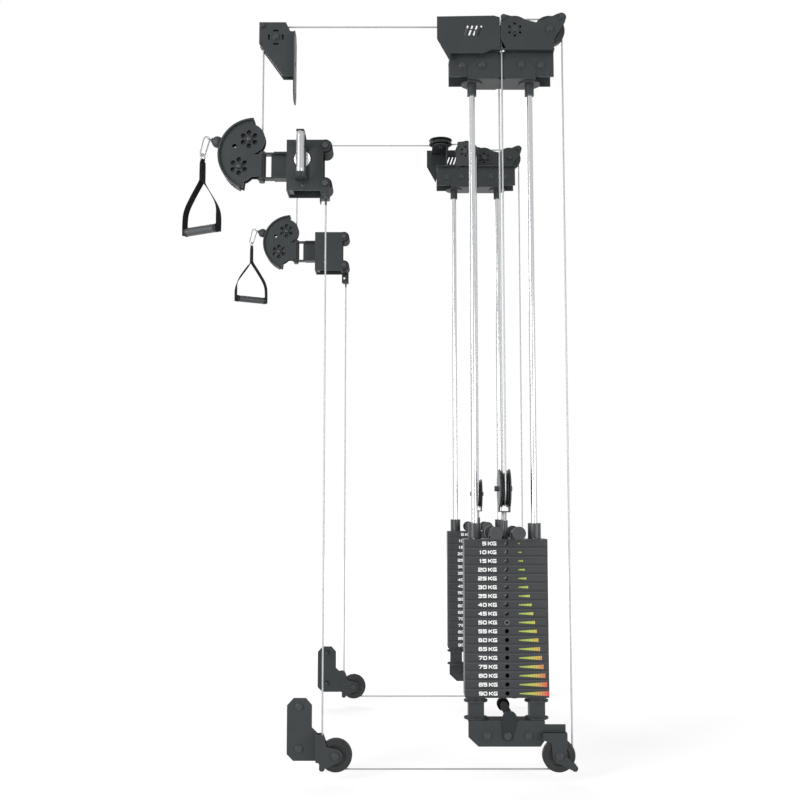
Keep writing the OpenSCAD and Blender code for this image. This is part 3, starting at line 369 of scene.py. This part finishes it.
for side, sign in SIDES.items():
    body = f"{side}_release_handle_body"
    tube = bmesh.new()
    turned(tube, [(0, -0.0627), (0.0105, -0.0627), (0.0118, -0.0622), (0.0125, -0.061),
                  (0.0125, -0.05), (0.0121, -0.0495), (0.0121, 0.0495), (0.0125, 0.05),
                  (0.0125, 0.06), (0.0118, 0.0613), (0.0105, 0.0617), (0, 0.0617)],
           Matrix.Translation((-0.299, sign * 0.69, 1.822)))
    add_piece(f"{side}_pin_tube", finished("pin_tube", tube), satin, body, "satin_grip",
              f"{side}_release_handle")
    pin = bmesh.new()
    turned(pin, [(0, 0.5975), (0.0045, 0.5975), (0.006, 0.6), (0.006, 0.6285)],
           Matrix.Translation((-0.299, 0, 1.822)) @ Matrix.Rotation(math.radians(-90 * sign), 4, "X"))
    add_piece(f"{side}_spring_pin", finished("spring_pin", pin), satin, body, "satin_grip")
    yoke = bmesh.new()
    for path in ([(0.702, 0.0644, 0.0112), (0.689, 0.0646, 0.0125), (0.684, 0.0635, 0.0132),
                  (0.656, 0.048, 0.0158), (0.63, 0.033, 0.018), (0.6245, 0.0325, 0.018)],
                 [(0.702, -0.0644, 0.0112), (0.689, -0.0646, 0.0122), (0.645, -0.0668, 0.018),
                  (0.6285, -0.0675, 0.021), (0.6245, -0.0675, 0.021)]):
        bent_arm(yoke, path, 0.0036, sign)
    bent_arm(yoke, [(0.6262, -0.0675, 0.012), (0.6262, 0.0325, 0.012)], 0.0036, sign, True)
    dome(yoke, 0.0048, 0.0032, Matrix.Translation((-0.299, sign * 0.688, 1.7557))
         @ Matrix.Rotation(math.radians(180), 4, "X"))
    add_piece(f"{side}_pin_yoke", finished("pin_yoke", yoke), charcoal, body, "black_steel")

    # Button-head screws: one low on the sleeve, and the caps on the swivel's bolts
    out = Matrix.Rotation(math.radians(-90 * sign), 4, "X")
    screw = bmesh.new()
    dome(screw, 0.0065, 0.0045, Matrix.Translation((-0.2963, sign * 0.6142, 1.7406)) @ out)
    add_piece(f"{side}_sleeve_screw", finished("sleeve_screw", screw), black_bolt,
              f"{side}_carriage_body", "black_bolts")
    caps = bmesh.new()
    for x, z in (UPPER_SWIVEL, LOWER_SWIVEL):
        dome(caps, 0.0098, 0.0105, Matrix.Translation((x, sign * 0.5893, z)) @ out)
        dome(caps, 0.0098, 0.0105, Matrix.Translation((x, sign * 0.5547, z))
             @ Matrix.Rotation(math.radians(90 * sign), 4, "X"))
    add_piece(f"{side}_swivel_caps", finished("swivel_caps", caps), black_bolt,
              f"{side}_swivel_body", "black_bolts")


# Weight plates: cast iron under smooth black enamel. White marks give each
# plate's load and a stepped gauge runs from green to red, on the camera's side.
enamel, wire, place = start("black enamel on cast iron")
grain = wire.noise(place, 420, 4)
cloud = wire.noise(place, 9, 3)
# Edges are painted lighter: partly wear, partly a painted highlight.
wear_and_edge_highlight = edge_mask(wire, 0.0016)
tone = wire.blend(cloud, (0.021, 0.0235, 0.026, 1), (0.034, 0.037, 0.041, 1))
STACK_LOW, PITCH = 0.209, 0.0255
# Painted shade and highlight: each plate's lowest strip, at the seam below it, is painted darker as
# shade, and its top strip lighter as a painted highlight.
height = wire.maths("FRACT", (place.axes()[2] - STACK_LOW) * (1 / PITCH))
tone = wire.blend((height < 0.16) * 0.6, tone, (0.008, 0.009, 0.01, 1))
tone = wire.blend((height > 0.84) * 0.35, tone, (0.07, 0.075, 0.08, 1))
surface(wire, wire.blend(wear_and_edge_highlight * 0.4, tone, (0.1, 0.107, 0.115, 1)), 0.38 + 0.12 * grain, 0.0,
        grain, 0.0001, 0.0016, Specular_IOR_Level=0.35)
dress(enamel, "resting_plates", "right_stack_lifted", "left_stack_lifted")

ink, wire, place = start("white ink")
surface(wire, (0.82, 0.82, 0.82, 1), 0.5 + 0.1 * wire.noise(place, 300), edge=0.0001)
gauge_ink, wire, place = start("gauge ink")
along = (place.axes()[0] - 0.349) * 11.6
ramp = wire.node("ValToRGB", {"stops": [(0.0, (0.29, 0.46, 0.07)), (0.38, (0.48, 0.55, 0.09)),
                 (0.6, (0.6, 0.4, 0.09)), (0.8, (0.64, 0.2, 0.08)), (1.0, (0.6, 0.045, 0.07))]},
                 {"Fac": along})
surface(wire, ramp, 0.5 + 0.1 * wire.noise(place, 300), edge=0.0001)
unlit_ink, wire, place = start("unlit gauge ink")
surface(wire, (0.022, 0.024, 0.026, 1), 0.5 + 0.1 * wire.noise(place, 300), edge=0.0001)


# The printed characters are wide blocks. Each stroke's points are two digits, across
# and up on a grid from 0 to 9.
STROKES = {
    "0": ["02 10 80 92 97 89 19 07 02"], "1": ["27 59 50"],
    "2": ["09 89 98 96 85 14 03 00 90"], "3": ["09 89 98 96 85 25", "85 93 92 80 00"],
    "4": ["70 79 03 93"], "5": ["99 09 05 85 94 92 80 00"],
    "6": ["89 19 07 02 10 80 92 94 85 05"], "7": ["09 99 30"],
    "8": ["02 10 80 92 97 89 19 07 02", "05 95"], "9": ["10 80 92 97 89 19 07 05 14 94"],
    "K": ["00 09", "99 35 90", "05 35"], "G": ["99 19 07 02 10 90 94 54"],
}


def letters(bm, words, x, y, middle):
    """Flat printed characters that face -Y, the last one's right side at x."""
    tall, thick = 0.0114, 0.0028
    for mark in reversed(words):
        if mark == " ":
            x -= 0.0034
            continue
        wide = 0.008 if mark == "1" else 0.0118
        x -= wide
        for stroke in STROKES[mark]:
            points = [Vector((x + thick / 2 + int(a) / 9 * (wide - thick),
                              middle + (int(b) / 9 - 0.5) * (tall - thick)))
                      for a, b in stroke.split()]
            for first, second in zip(points, points[1:]):
                along = (second - first).normalized() * thick / 2
                across = Vector((-along.y, along.x))
                bm.faces.new([bm.verts.new((p.x, y, p.y)) for p in (
                    first - along * 0.8 - across, second + along * 0.8 - across,
                    second + along * 0.8 + across, first - along * 0.8 + across)])
                y -= 0.000002
        x -= 0.0013


def tile(bm, x0, x1, y, z0, z1):
    corners = [(x0, z0), (x1, z0), (x1, z1), (x0, z1)]
    bm.faces.new([bm.verts.new((x, y, z)) for x, z in corners])


for side, sign in SIDES.items():
    face = sign * STACK_Y - 0.05
    for body, rows in ((f"{side}_lift_body", range(1, 11)), ("rack_fixed", range(11, 19))):
        words, lit, unlit = bmesh.new(), bmesh.new(), bmesh.new()
        for row in rows:
            middle = 0.668 - PITCH * row + 0.01275 - 0.0002
            letters(words, f"{5 * row} KG", 0.284, face - 0.0001, middle)
            for k in range(18):
                tall = 0.0016 + 0.0056 * k / 17
                x = 0.3485 + 0.00476 * k
                tile(lit if k < row else unlit, x, x + 0.0038, face - 0.00012,
                     middle - tall, middle + tall)
        group = "upper" if body != "rack_fixed" else "lower"
        add_piece(f"{side}_{group}_loads", finished("loads", words), ink, body, "cast_plates")
        add_piece(f"{side}_{group}_gauge", finished("gauge", lit), gauge_ink, body, "cast_plates")
        if unlit.faces:
            add_piece(f"{side}_{group}_gauge_rest", finished("gauge_rest", unlit), unlit_ink, body,
                      "cast_plates")
        else:
            unlit.free()


# Lift head: blackened steel stem, bushings, yoke and add-on weights, with a
# bright threaded stud between stem and yoke and a centre mark on each weight.
# Below the top plate the stem is painted near black, a painted shade inside the plates' holes.
for side, sign in SIDES.items():
    coat, wire, place = start(f"{side} lift head")
    x, y, z = place.axes()
    from_stem = place.length_to(STACK_X, sign * STACK_Y, 0, (1, 1, 0))
    stud = (from_stem < 0.0085) * (z > 0.7225) * (z < 0.7465)
    marks = [place.length_to(centre, 0, 0.6853, (1, 0, 1)) < 0.0022 for centre in (0.2795, 0.3465)]
    mark = marks[0] + marks[1]
    thread = (z * 4200).sine() * stud
    grain = wire.noise(place, 600, 3)
    tone = wire.blend(grain * (1 - mark), (0.024, 0.028, 0.03, 1), (0.042, 0.048, 0.051, 1))
    # Below the top plate's top, which is the stem inside the plates' holes, the head is painted near
    # black as shade.
    tone = wire.blend(z < 0.6678, tone, (0.003, 0.003, 0.003, 1))
    surface(wire, wire.blend(stud, tone, (0.6, 0.61, 0.62, 1)), 0.34 + 0.1 * grain,
            0.9 * stud, grain * 0.3 + thread - 2.0 * mark, 0.0002, 0.0016)
    dress(coat, f"{side}_lift_head")


# Selector pin: turned steel with a short head, blackened in its middle.
pin_steel, wire, place = start("selector pin steel")
grain = wire.noise(place, 300, 3)
middle = place.length_to(STACK_X, 0, 0.42575, (1, 0, 1)) < 0.0052
surface(wire, wire.blend(middle, wire.blend(grain, (0.1, 0.105, 0.11, 1), (0.2, 0.205, 0.21, 1)),
                         (0.012, 0.013, 0.014, 1)), 0.3 + 0.1 * grain, 0.6, grain, 0.00004, 0.0008)
dress(pin_steel, "right_selector_pin", "left_selector_pin")


# Ball stop: a black rubber ball crimped on the cable's end, with a collar and
# a steel eye. It holds the cable against the swivel head's guard.
rubber, wire, place = start("moulded rubber")
grain = wire.noise(place, 800, 3)
cloud = wire.noise(place, 40, 3)
surface(wire, wire.blend(cloud, (0.02, 0.023, 0.025, 1), (0.036, 0.041, 0.044, 1)), 0.5 + 0.15 * grain,
        0.0, grain, 0.0001, 0.001)
nickel, wire, place = start("nickel plated wire")
grain = wire.noise(place, 200, 3)
surface(wire, wire.blend(grain, (0.24, 0.25, 0.26, 1), (0.36, 0.37, 0.38, 1)), 0.2 + 0.14 * grain, 1.0,
        grain, 0.00003, 0.0004)


def ring_about(bm, centre, axis, radius, thick, start_turn=0.0, sweep=360.0, first=None):
    """A round wire bent into a ring or an arc about an axis."""
    axis = Vector(axis).normalized()
    first = Vector(first or axis.orthogonal()).normalized()
    second = axis.cross(first)
    steps = max(10, int(44 * sweep / 360))
    turns = [math.radians(start_turn + sweep * k / steps) for k in range(steps + 1)]
    path = [Vector(centre) + radius * (math.cos(t) * first + math.sin(t) * second) for t in turns]
    wire_along(bm, path, thick, sweep >= 360)


def wire_along(bm, path, thick, closed=False, steps=16):
    if closed:
        path = path[:-1]
    count, loops = len(path), []
    side = None
    for k, point in enumerate(path):
        ahead = path[(k + 1) % count] if closed or k + 1 < count else point
        behind = path[k - 1] if closed or k else point
        way = (ahead - behind).normalized()
        side = (side - way * side.dot(way) if side else way.orthogonal()).normalized()
        up = way.cross(side)
        loops.append([bm.verts.new(point + thick * (math.cos(2 * math.pi * j / steps) * side
                     + math.sin(2 * math.pi * j / steps) * up)) for j in range(steps)])
    pairs = list(zip(loops, loops[1:])) + ([(loops[-1], loops[0])] if closed else [])
    shift = 0
    for low, high in pairs:
        if closed and high is loops[0]:
            shift = min(range(steps), key=lambda s: (high[s].co - low[0].co).length)
        for j in range(steps):
            bm.faces.new([low[j], low[(j + 1) % steps], high[(j + 1 + shift) % steps],
                          high[(j + shift) % steps]])
    if not closed:
        bm.faces.new(loops[0][::-1])
        bm.faces.new(loops[-1])


PULL = math.radians(159.3414)
OUTWARD = Vector((math.cos(PULL), 0, math.sin(PULL)))
CABLE_OUT = 0.0744
for side, sign in SIDES.items():
    body = f"{side}_ball_stop_body"
    centre = Vector((-0.566798, sign * FRONT_Y, 1.890602))
    aim = Matrix.Translation(centre) @ OUTWARD.to_track_quat("Z", "Y").to_matrix().to_4x4()
    ball = bmesh.new()
    profile = [(0.018 * math.sin(math.radians(a)), -0.018 * math.cos(math.radians(a)))
               for a in range(0, 157, 6)]
    profile += [(0.0076, 0.0172), (0.0074, 0.0196), (0.0058, 0.0203), (0, 0.0203)]
    turned(ball, profile, aim)
    add_piece(f"{side}_ball", finished("ball", ball), rubber, body, "ball_rubber", f"{side}_ball_stop")
    eye = bmesh.new()
    turned(eye, [(0.003, 0.018), (0.003, 0.0205), (0.0026, 0.0218), (0, 0.0218)], aim, 24)
    ring_about(eye, centre + 0.027 * OUTWARD, OUTWARD.cross(Vector((0, 1, 0))), 0.006, 0.0015)
    add_piece(f"{side}_eye", finished("eye", eye), nickel, body, "zinc_steel")


# Moving cable runs: each joins a fixed pulley to a part that slides. Each is drawn
# straight on its line in this pose and is not stretched when that part moves.
def cable_run(name, path, still, moving, first, last, *nodes):
    run = bmesh.new()
    wire_along(run, path, 0.0025, steps=20)
    mesh = finished(name, run)
    mesh.materials.append(cable)
    piece = bpy.data.objects.new(name, mesh)
    bpy.context.scene.collection.objects.link(piece)
    if nodes:
        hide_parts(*nodes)
    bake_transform(piece)


for side, sign in SIDES.items():
    for name, x, y, still, moved, body in (
        ("front_run", -0.427, FRONT_Y, HEADER_Z, UPPER_SWIVEL[1], "carriage"),
        ("base_run", -0.2255, OUTER_Y, FOOT_Z, 1.675, "carriage"),
        ("inner_run", STACK_X, 0.528, HEADER_Z, FLOAT_Z, "lift"),
        ("outer_run", STACK_X, OUTER_Y, HEADER_Z, FLOAT_Z, "lift"),
    ):
        top, foot = Vector((x, sign * y, still)), Vector((x, sign * y, moved))
        cable_run(f"{side}_{name}", [top.lerp(foot, k / 30) for k in range(31)], "rack_fixed",
                  f"{side}_{body}_body", top, foot,
                  *(["ropes_stretching"] if (side, name) == ("right", "front_run") else []))
    axle = Vector((UPPER_SWIVEL[0], sign * FRONT_Y, UPPER_SWIVEL[1]))
    turns = [math.radians(-110.6586 * k / 20) for k in range(20, -1, -1)]
    wrap = [axle + 0.0395 * Vector((math.cos(t), 0, math.sin(t))) for t in turns]
    ball_end = wrap[0] + CABLE_OUT * OUTWARD
    cable_run(f"{side}_pull_run", [ball_end.lerp(wrap[0], k / 8) for k in range(8)] + wrap,
              f"{side}_swivel_body", f"{side}_ball_stop_body", wrap[0], ball_end,
              f"{side}_rope_on_swivel")


# Carabiner: nickel-plated wire bent into a pear, with a sprung gate on its
# outer side, hinged on a pin at the narrow end.
STRAP_X = -0.611878
TOP, LOW = Vector((-0.600878, 0, 1.898147)), Vector((STRAP_X, 0, 1.856147))
DOWN = (LOW - TOP).normalized()
ACROSS = Vector((-DOWN.z, 0, DOWN.x))
for side, sign in SIDES.items():
    body = f"{side}_carabiner_body"
    shift = Vector((0, sign * FRONT_Y, 0))
    narrow = LOW + DOWN * 0.0016
    link = bmesh.new()
    path = [narrow - ACROSS * 0.0078 - DOWN * 0.003]
    path += [narrow + 0.0079 * (math.cos(t) * -ACROSS + math.sin(t) * DOWN)
             for t in [math.radians(a) for a in range(0, 181, 15)]]
    path += [narrow.lerp(TOP, 0.5) + ACROSS * 0.0088]
    path += [TOP + 0.0095 * (math.cos(t) * ACROSS - math.sin(t) * DOWN)
             for t in [math.radians(a) for a in range(0, 181, 12)]]
    path += [TOP - ACROSS * 0.0094 + DOWN * 0.006]
    wire_along(link, [point + shift for point in path], 0.0021)
    low_end = narrow - ACROSS * 0.0079 - DOWN * 0.0035 + shift
    top_end = TOP - ACROSS * 0.0093 + DOWN * 0.0065 + shift
    wire_along(link, [low_end, low_end.lerp(top_end, 0.5), top_end], 0.0018)
    ring_about(link, low_end, (0, 1, 0), 0.0001, 0.0027)
    add_piece(f"{side}_carabiner_link", finished("carabiner_link", link), nickel, body,
              "zinc_steel", f"{side}_carabiner")


# Strap: 25 mm nylon webbing, doubled and sewn under a steel ring, that forks
# into two legs. One leg turns edge-on near the fork. Legs end round the grip.
webbing, wire, place = start("nylon webbing")
x, y, z = place.axes()
ribs = (z * 2600).sine() * ((x + y) * 2100).sine()
fuzz = wire.noise(place, 700, 3)
tone = wire.blend((ribs * 0.5 + 0.5).clamp(), (0.005, 0.0055, 0.006, 1), (0.013, 0.014, 0.015, 1))
surface(wire, tone, 0.7 + 0.15 * fuzz, 0.0, ribs + 0.5 * fuzz, 0.00012, 0.0005, Specular_IOR_Level=0.12)
thread, wire, place = start("sewing thread")
surface(wire, (0.05, 0.054, 0.058, 1), 0.6 + 0.1 * wire.noise(place, 900), edge=0.0002)


def smooth_path(points, steps=8):
    """A Catmull-Rom curve through points of any length."""
    made = []
    for k in range(len(points) - 1):
        p0, p1 = points[max(k - 1, 0)], points[k]
        p2, p3 = points[k + 1], points[min(k + 2, len(points) - 1)]
        for j in range(steps):
            t = j / steps
            made.append([0.5 * (2 * b + (c - a) * t + (2 * a - 5 * b + 4 * c - d) * t * t
                         + (3 * b - a - 3 * c + d) * t * t * t)
                         for a, b, c, d in zip(p0, p1, p2, p3)])
    return made + [list(points[-1])]


def band(bm, rows, matrix):
    """Webbing with rounded selvedges along (x, z, turn, width, thick) rows."""
    loops = []
    for k, (x, z, turn, width, thick) in enumerate(rows):
        ahead, behind = rows[min(k + 1, len(rows) - 1)], rows[max(k - 1, 0)]
        way = Vector((ahead[0] - behind[0], 0, ahead[1] - behind[1])).normalized()
        wide = Vector((math.sin(math.radians(turn)), math.cos(math.radians(turn)), 0))
        wide = (wide - way * wide.dot(way)).normalized()
        out = way.cross(wide)
        half, deep = width / 2, thick / 2
        ring = [(-half, -0.35 * deep), (-0.94 * half, -deep), (-0.4 * half, -0.94 * deep),
                (0.4 * half, -0.94 * deep), (0.94 * half, -deep), (half, -0.35 * deep),
                (half, 0.35 * deep), (0.94 * half, deep), (0.4 * half, 0.94 * deep),
                (-0.4 * half, 0.94 * deep), (-0.94 * half, deep), (-half, 0.35 * deep)]
        loops.append([bm.verts.new(matrix @ (Vector((x, 0, z)) + a * wide + b * out))
                      for a, b in ring])
    for low, high in zip(loops, loops[1:]):
        for j in range(12):
            bm.faces.new([low[j], low[(j + 1) % 12], high[(j + 1) % 12], high[j]])
    bm.faces.new(loops[0][::-1])
    bm.faces.new(loops[-1])


for side, sign in SIDES.items():
    body = f"{side}_strap_body"
    hang = Matrix.Translation((STRAP_X, sign * FRONT_Y, 0)) @ Matrix.Rotation(
        math.radians(sign * 30), 4, "Z")
    strap = bmesh.new()
    top = 1.83315
    band(strap, smooth_path([(0, top - 0.0045, 0, 0.021, 0.005), (0, top - 0.014, 0, 0.024, 0.0054),
                             (0, 1.80, 0, 0.025, 0.0052), (0, 1.775, 0, 0.025, 0.0054),
                             (0, 1.764, 0, 0.025, 0.0046)]), hang)
    for leg in (-1, 1):
        thin = 28 * leg if leg == -sign else 0
        points = [(0.0008 * leg, 1.776, 0, 0.0248, 0.0025),
                  (0.004 * leg, 1.764, -thin * 0.5, 0.0248, 0.0025),
                  (0.019 * leg, 1.7435, -thin, 0.0246, 0.0025),
                  (0.0395 * leg, 1.715, -thin, 0.0246, 0.0025),
                  (0.0555 * leg, 1.69, -thin * 0.8, 0.0246, 0.0025),
                  (0.0640 * leg, 1.668, -thin * 0.4, 0.0248, 0.0025),
                  (0.0664 * leg, 1.645, 0, 0.025, 0.0025),
                  (0.0668 * leg, 1.622, 0, 0.025, 0.0025),
                  (0.0668 * leg, 1.6005, 0, 0.0235, 0.0025)]
        band(strap, smooth_path(points), hang)
    for around in (-1, 1):
        wire_along(strap, [hang @ Vector((0, 0.006 * around * k, top)) for k in (0.2, 1)], 0.0046)
    add_piece(f"{side}_webbing", finished("webbing", strap, 40), webbing, body, "webbing",
              f"{side}_strap")
    ring = bmesh.new()
    ring_about(ring, hang @ Vector((0, 0, 1.843147)), hang.to_3x3() @ Vector((1, 0, 0)), 0.01, 0.0018)
    add_piece(f"{side}_strap_ring", finished("strap_ring", ring), nickel, body, "zinc_steel")
    sewn = bmesh.new()
    for face in (-1, 1):
        for z0, z1 in ((1.818, 1.797), (1.79, 1.77)):
            corners = [(-0.0095, z0), (0.0095, z0), (0.0095, z1), (-0.0095, z1)]
            lines = list(zip(corners, corners[1:] + corners[:1])) + [
                (corners[0], corners[2]), (corners[1], corners[3])]
            for (ya, za), (yb, zb) in lines:
                count = max(3, int(math.hypot(yb - ya, zb - za) / 0.003))
                for k in range(count):
                    a, b = (k + 0.15) / count, (k + 0.8) / count
                    wire_along(sewn, [hang @ Vector((0.00265 * face, ya + (yb - ya) * t,
                               za + (zb - za) * t)) for t in (a, (a + b) / 2, b)], 0.00035, steps=5)
    add_piece(f"{side}_stitches", finished("stitches", sewn), thread, body, "webbing")


# Grip: a moulded tube with a fine knurl and plain rims, closed by a plug at
# each end that the webbing passes round.
for side, sign in SIDES.items():
    body = f"{side}_grip_body"
    turn = math.radians(sign * 30)
    way = Vector((math.cos(turn), math.sin(turn), 0))
    middle = Vector((STRAP_X, sign * FRONT_Y, 1.612))
    coat, wire, place = start(f"{side} knurled grip")
    local = wire.node("VectorMath", {"operation": "SUBTRACT"}, {0: place, 1: tuple(middle)})
    along = wire.node("VectorMath", {"operation": "DOT_PRODUCT"}, {0: local, 1: tuple(way)}, "Value")
    across = wire.node("VectorMath", {"operation": "DOT_PRODUCT"},
                       {0: local, 1: (-way.y, way.x, 0)}, "Value")
    up = local.axes()[2]
    round_turn = wire.maths("ARCTAN2", across, up)
    body_part = wire.maths("ABSOLUTE", along) < 0.053
    knurl = ((along * 2100 + round_turn * 22).sine() * (along * 2100 - round_turn * 22).sine())
    fleck = wire.noise(place, 900, 2)
    tone = wire.blend((knurl * 0.3 + 0.6).clamp() * body_part, (0.012, 0.013, 0.014, 1),
                      (0.1, 0.108, 0.115, 1))
    surface(wire, tone, 0.3 + 0.1 * fleck, 0.5, knurl * body_part + 0.3 * fleck, 0.00012, 0.0008)
    tube = bmesh.new()
    aim = Matrix.Translation(middle) @ way.to_track_quat("Z", "Y").to_matrix().to_4x4()
    turned(tube, [(0.009, -0.064), (0.0125, -0.064), (0.0136, -0.0632), (0.014, -0.062),
                  (0.014, -0.0555), (0.0137, -0.055), (0.0133, -0.0535), (0.0132, -0.05),
                  (0.0134, 0), (0.0132, 0.05), (0.0133, 0.0535), (0.0137, 0.055), (0.014, 0.0555),
                  (0.014, 0.062), (0.0136, 0.0632), (0.0125, 0.064), (0.009, 0.064)], aim, 64)
    add_piece(f"{side}_grip_tube", finished("grip_tube", tube), coat, body, "grip_plastic",
              f"{side}_grip")


# The studio: a pale floor and a white surround, lit softly from the front and
# above. The floor keeps a faint shadow under the lowest pulleys.
def seen_rays(wire):
    """1 for rays that look at the surround or see it in a mirror."""
    return (wire.node("LightPath", output="Is Camera Ray")
            + wire.node("LightPath", output="Is Glossy Ray")
            + wire.node("LightPath", output="Is Transmission Ray")).clamp()


floor_mesh = bpy.data.meshes.new("floor")
ground = bmesh.new()
bmesh.ops.create_grid(ground, x_segments=1, y_segments=1, size=14)
ground.to_mesh(floor_mesh)
ground.free()
floor = bpy.data.objects.new("floor", floor_mesh)
floor.location = (0, 0, -0.03)
bpy.context.scene.collection.objects.link(floor)
pale, wire, place = start("pale floor")
seen = seen_rays(wire)
diffuse = wire.node("BsdfDiffuse", None, {"Color": (0.8, 0.8, 0.8, 1)})
far = wire.maths("MINIMUM", ((place.length_to(0, 0, 0, (1, 1, 0)) - 1.1) * 0.1).clamp(), 0.2)
glow = wire.node("Emission", None, {"Color": (1, 1, 1, 1), "Strength": 1.56})
wire.node("OutputMaterial", None, {"Surface": wire.node("MixShader", None, {
    0: seen * (0.45 + far), 1: diffuse, 2: glow})})
floor_mesh.materials.append(pale)

world = bpy.data.worlds.new("studio")
bpy.context.scene.world = world
world.use_nodes = True
world.node_tree.nodes.clear()
wire = Wire(world.node_tree)
dim = wire.node("Background", None, {"Color": (1, 1, 1, 1), "Strength": 0.42})
white = wire.node("Background", None, {"Color": (1, 1, 1, 1), "Strength": 1.0})
wire.node("OutputWorld", None, {"Surface": wire.node("MixShader", None, {
    0: seen_rays(wire), 1: dim, 2: white})})

for name, place, aim, wide, tall, power in (
    ("key", (-2.9, -3.9, 1.5), (0, 0, 1.0), 1.0, 2.8, 135),
    ("fill", (3.0, -3.6, 0.8), (0, 0, 0.6), 1.8, 2.2, 80),
    ("back", (-1.5, 3.6, 3.2), (0, 0, 1.2), 2.0, 2.0, 60),
):
    lamp = bpy.data.objects.new(name, bpy.data.lights.new(name, "AREA"))
    lamp.data.shape = "RECTANGLE"
    lamp.data.size, lamp.data.size_y, lamp.data.energy = wide, tall, power
    lamp.location = place
    lamp.rotation_euler = (Vector(aim) - Vector(place)).to_track_quat("-Z", "Y").to_euler()
    bpy.context.scene.collection.objects.link(lamp)

bpy.context.scene.view_settings.view_transform = "Standard"
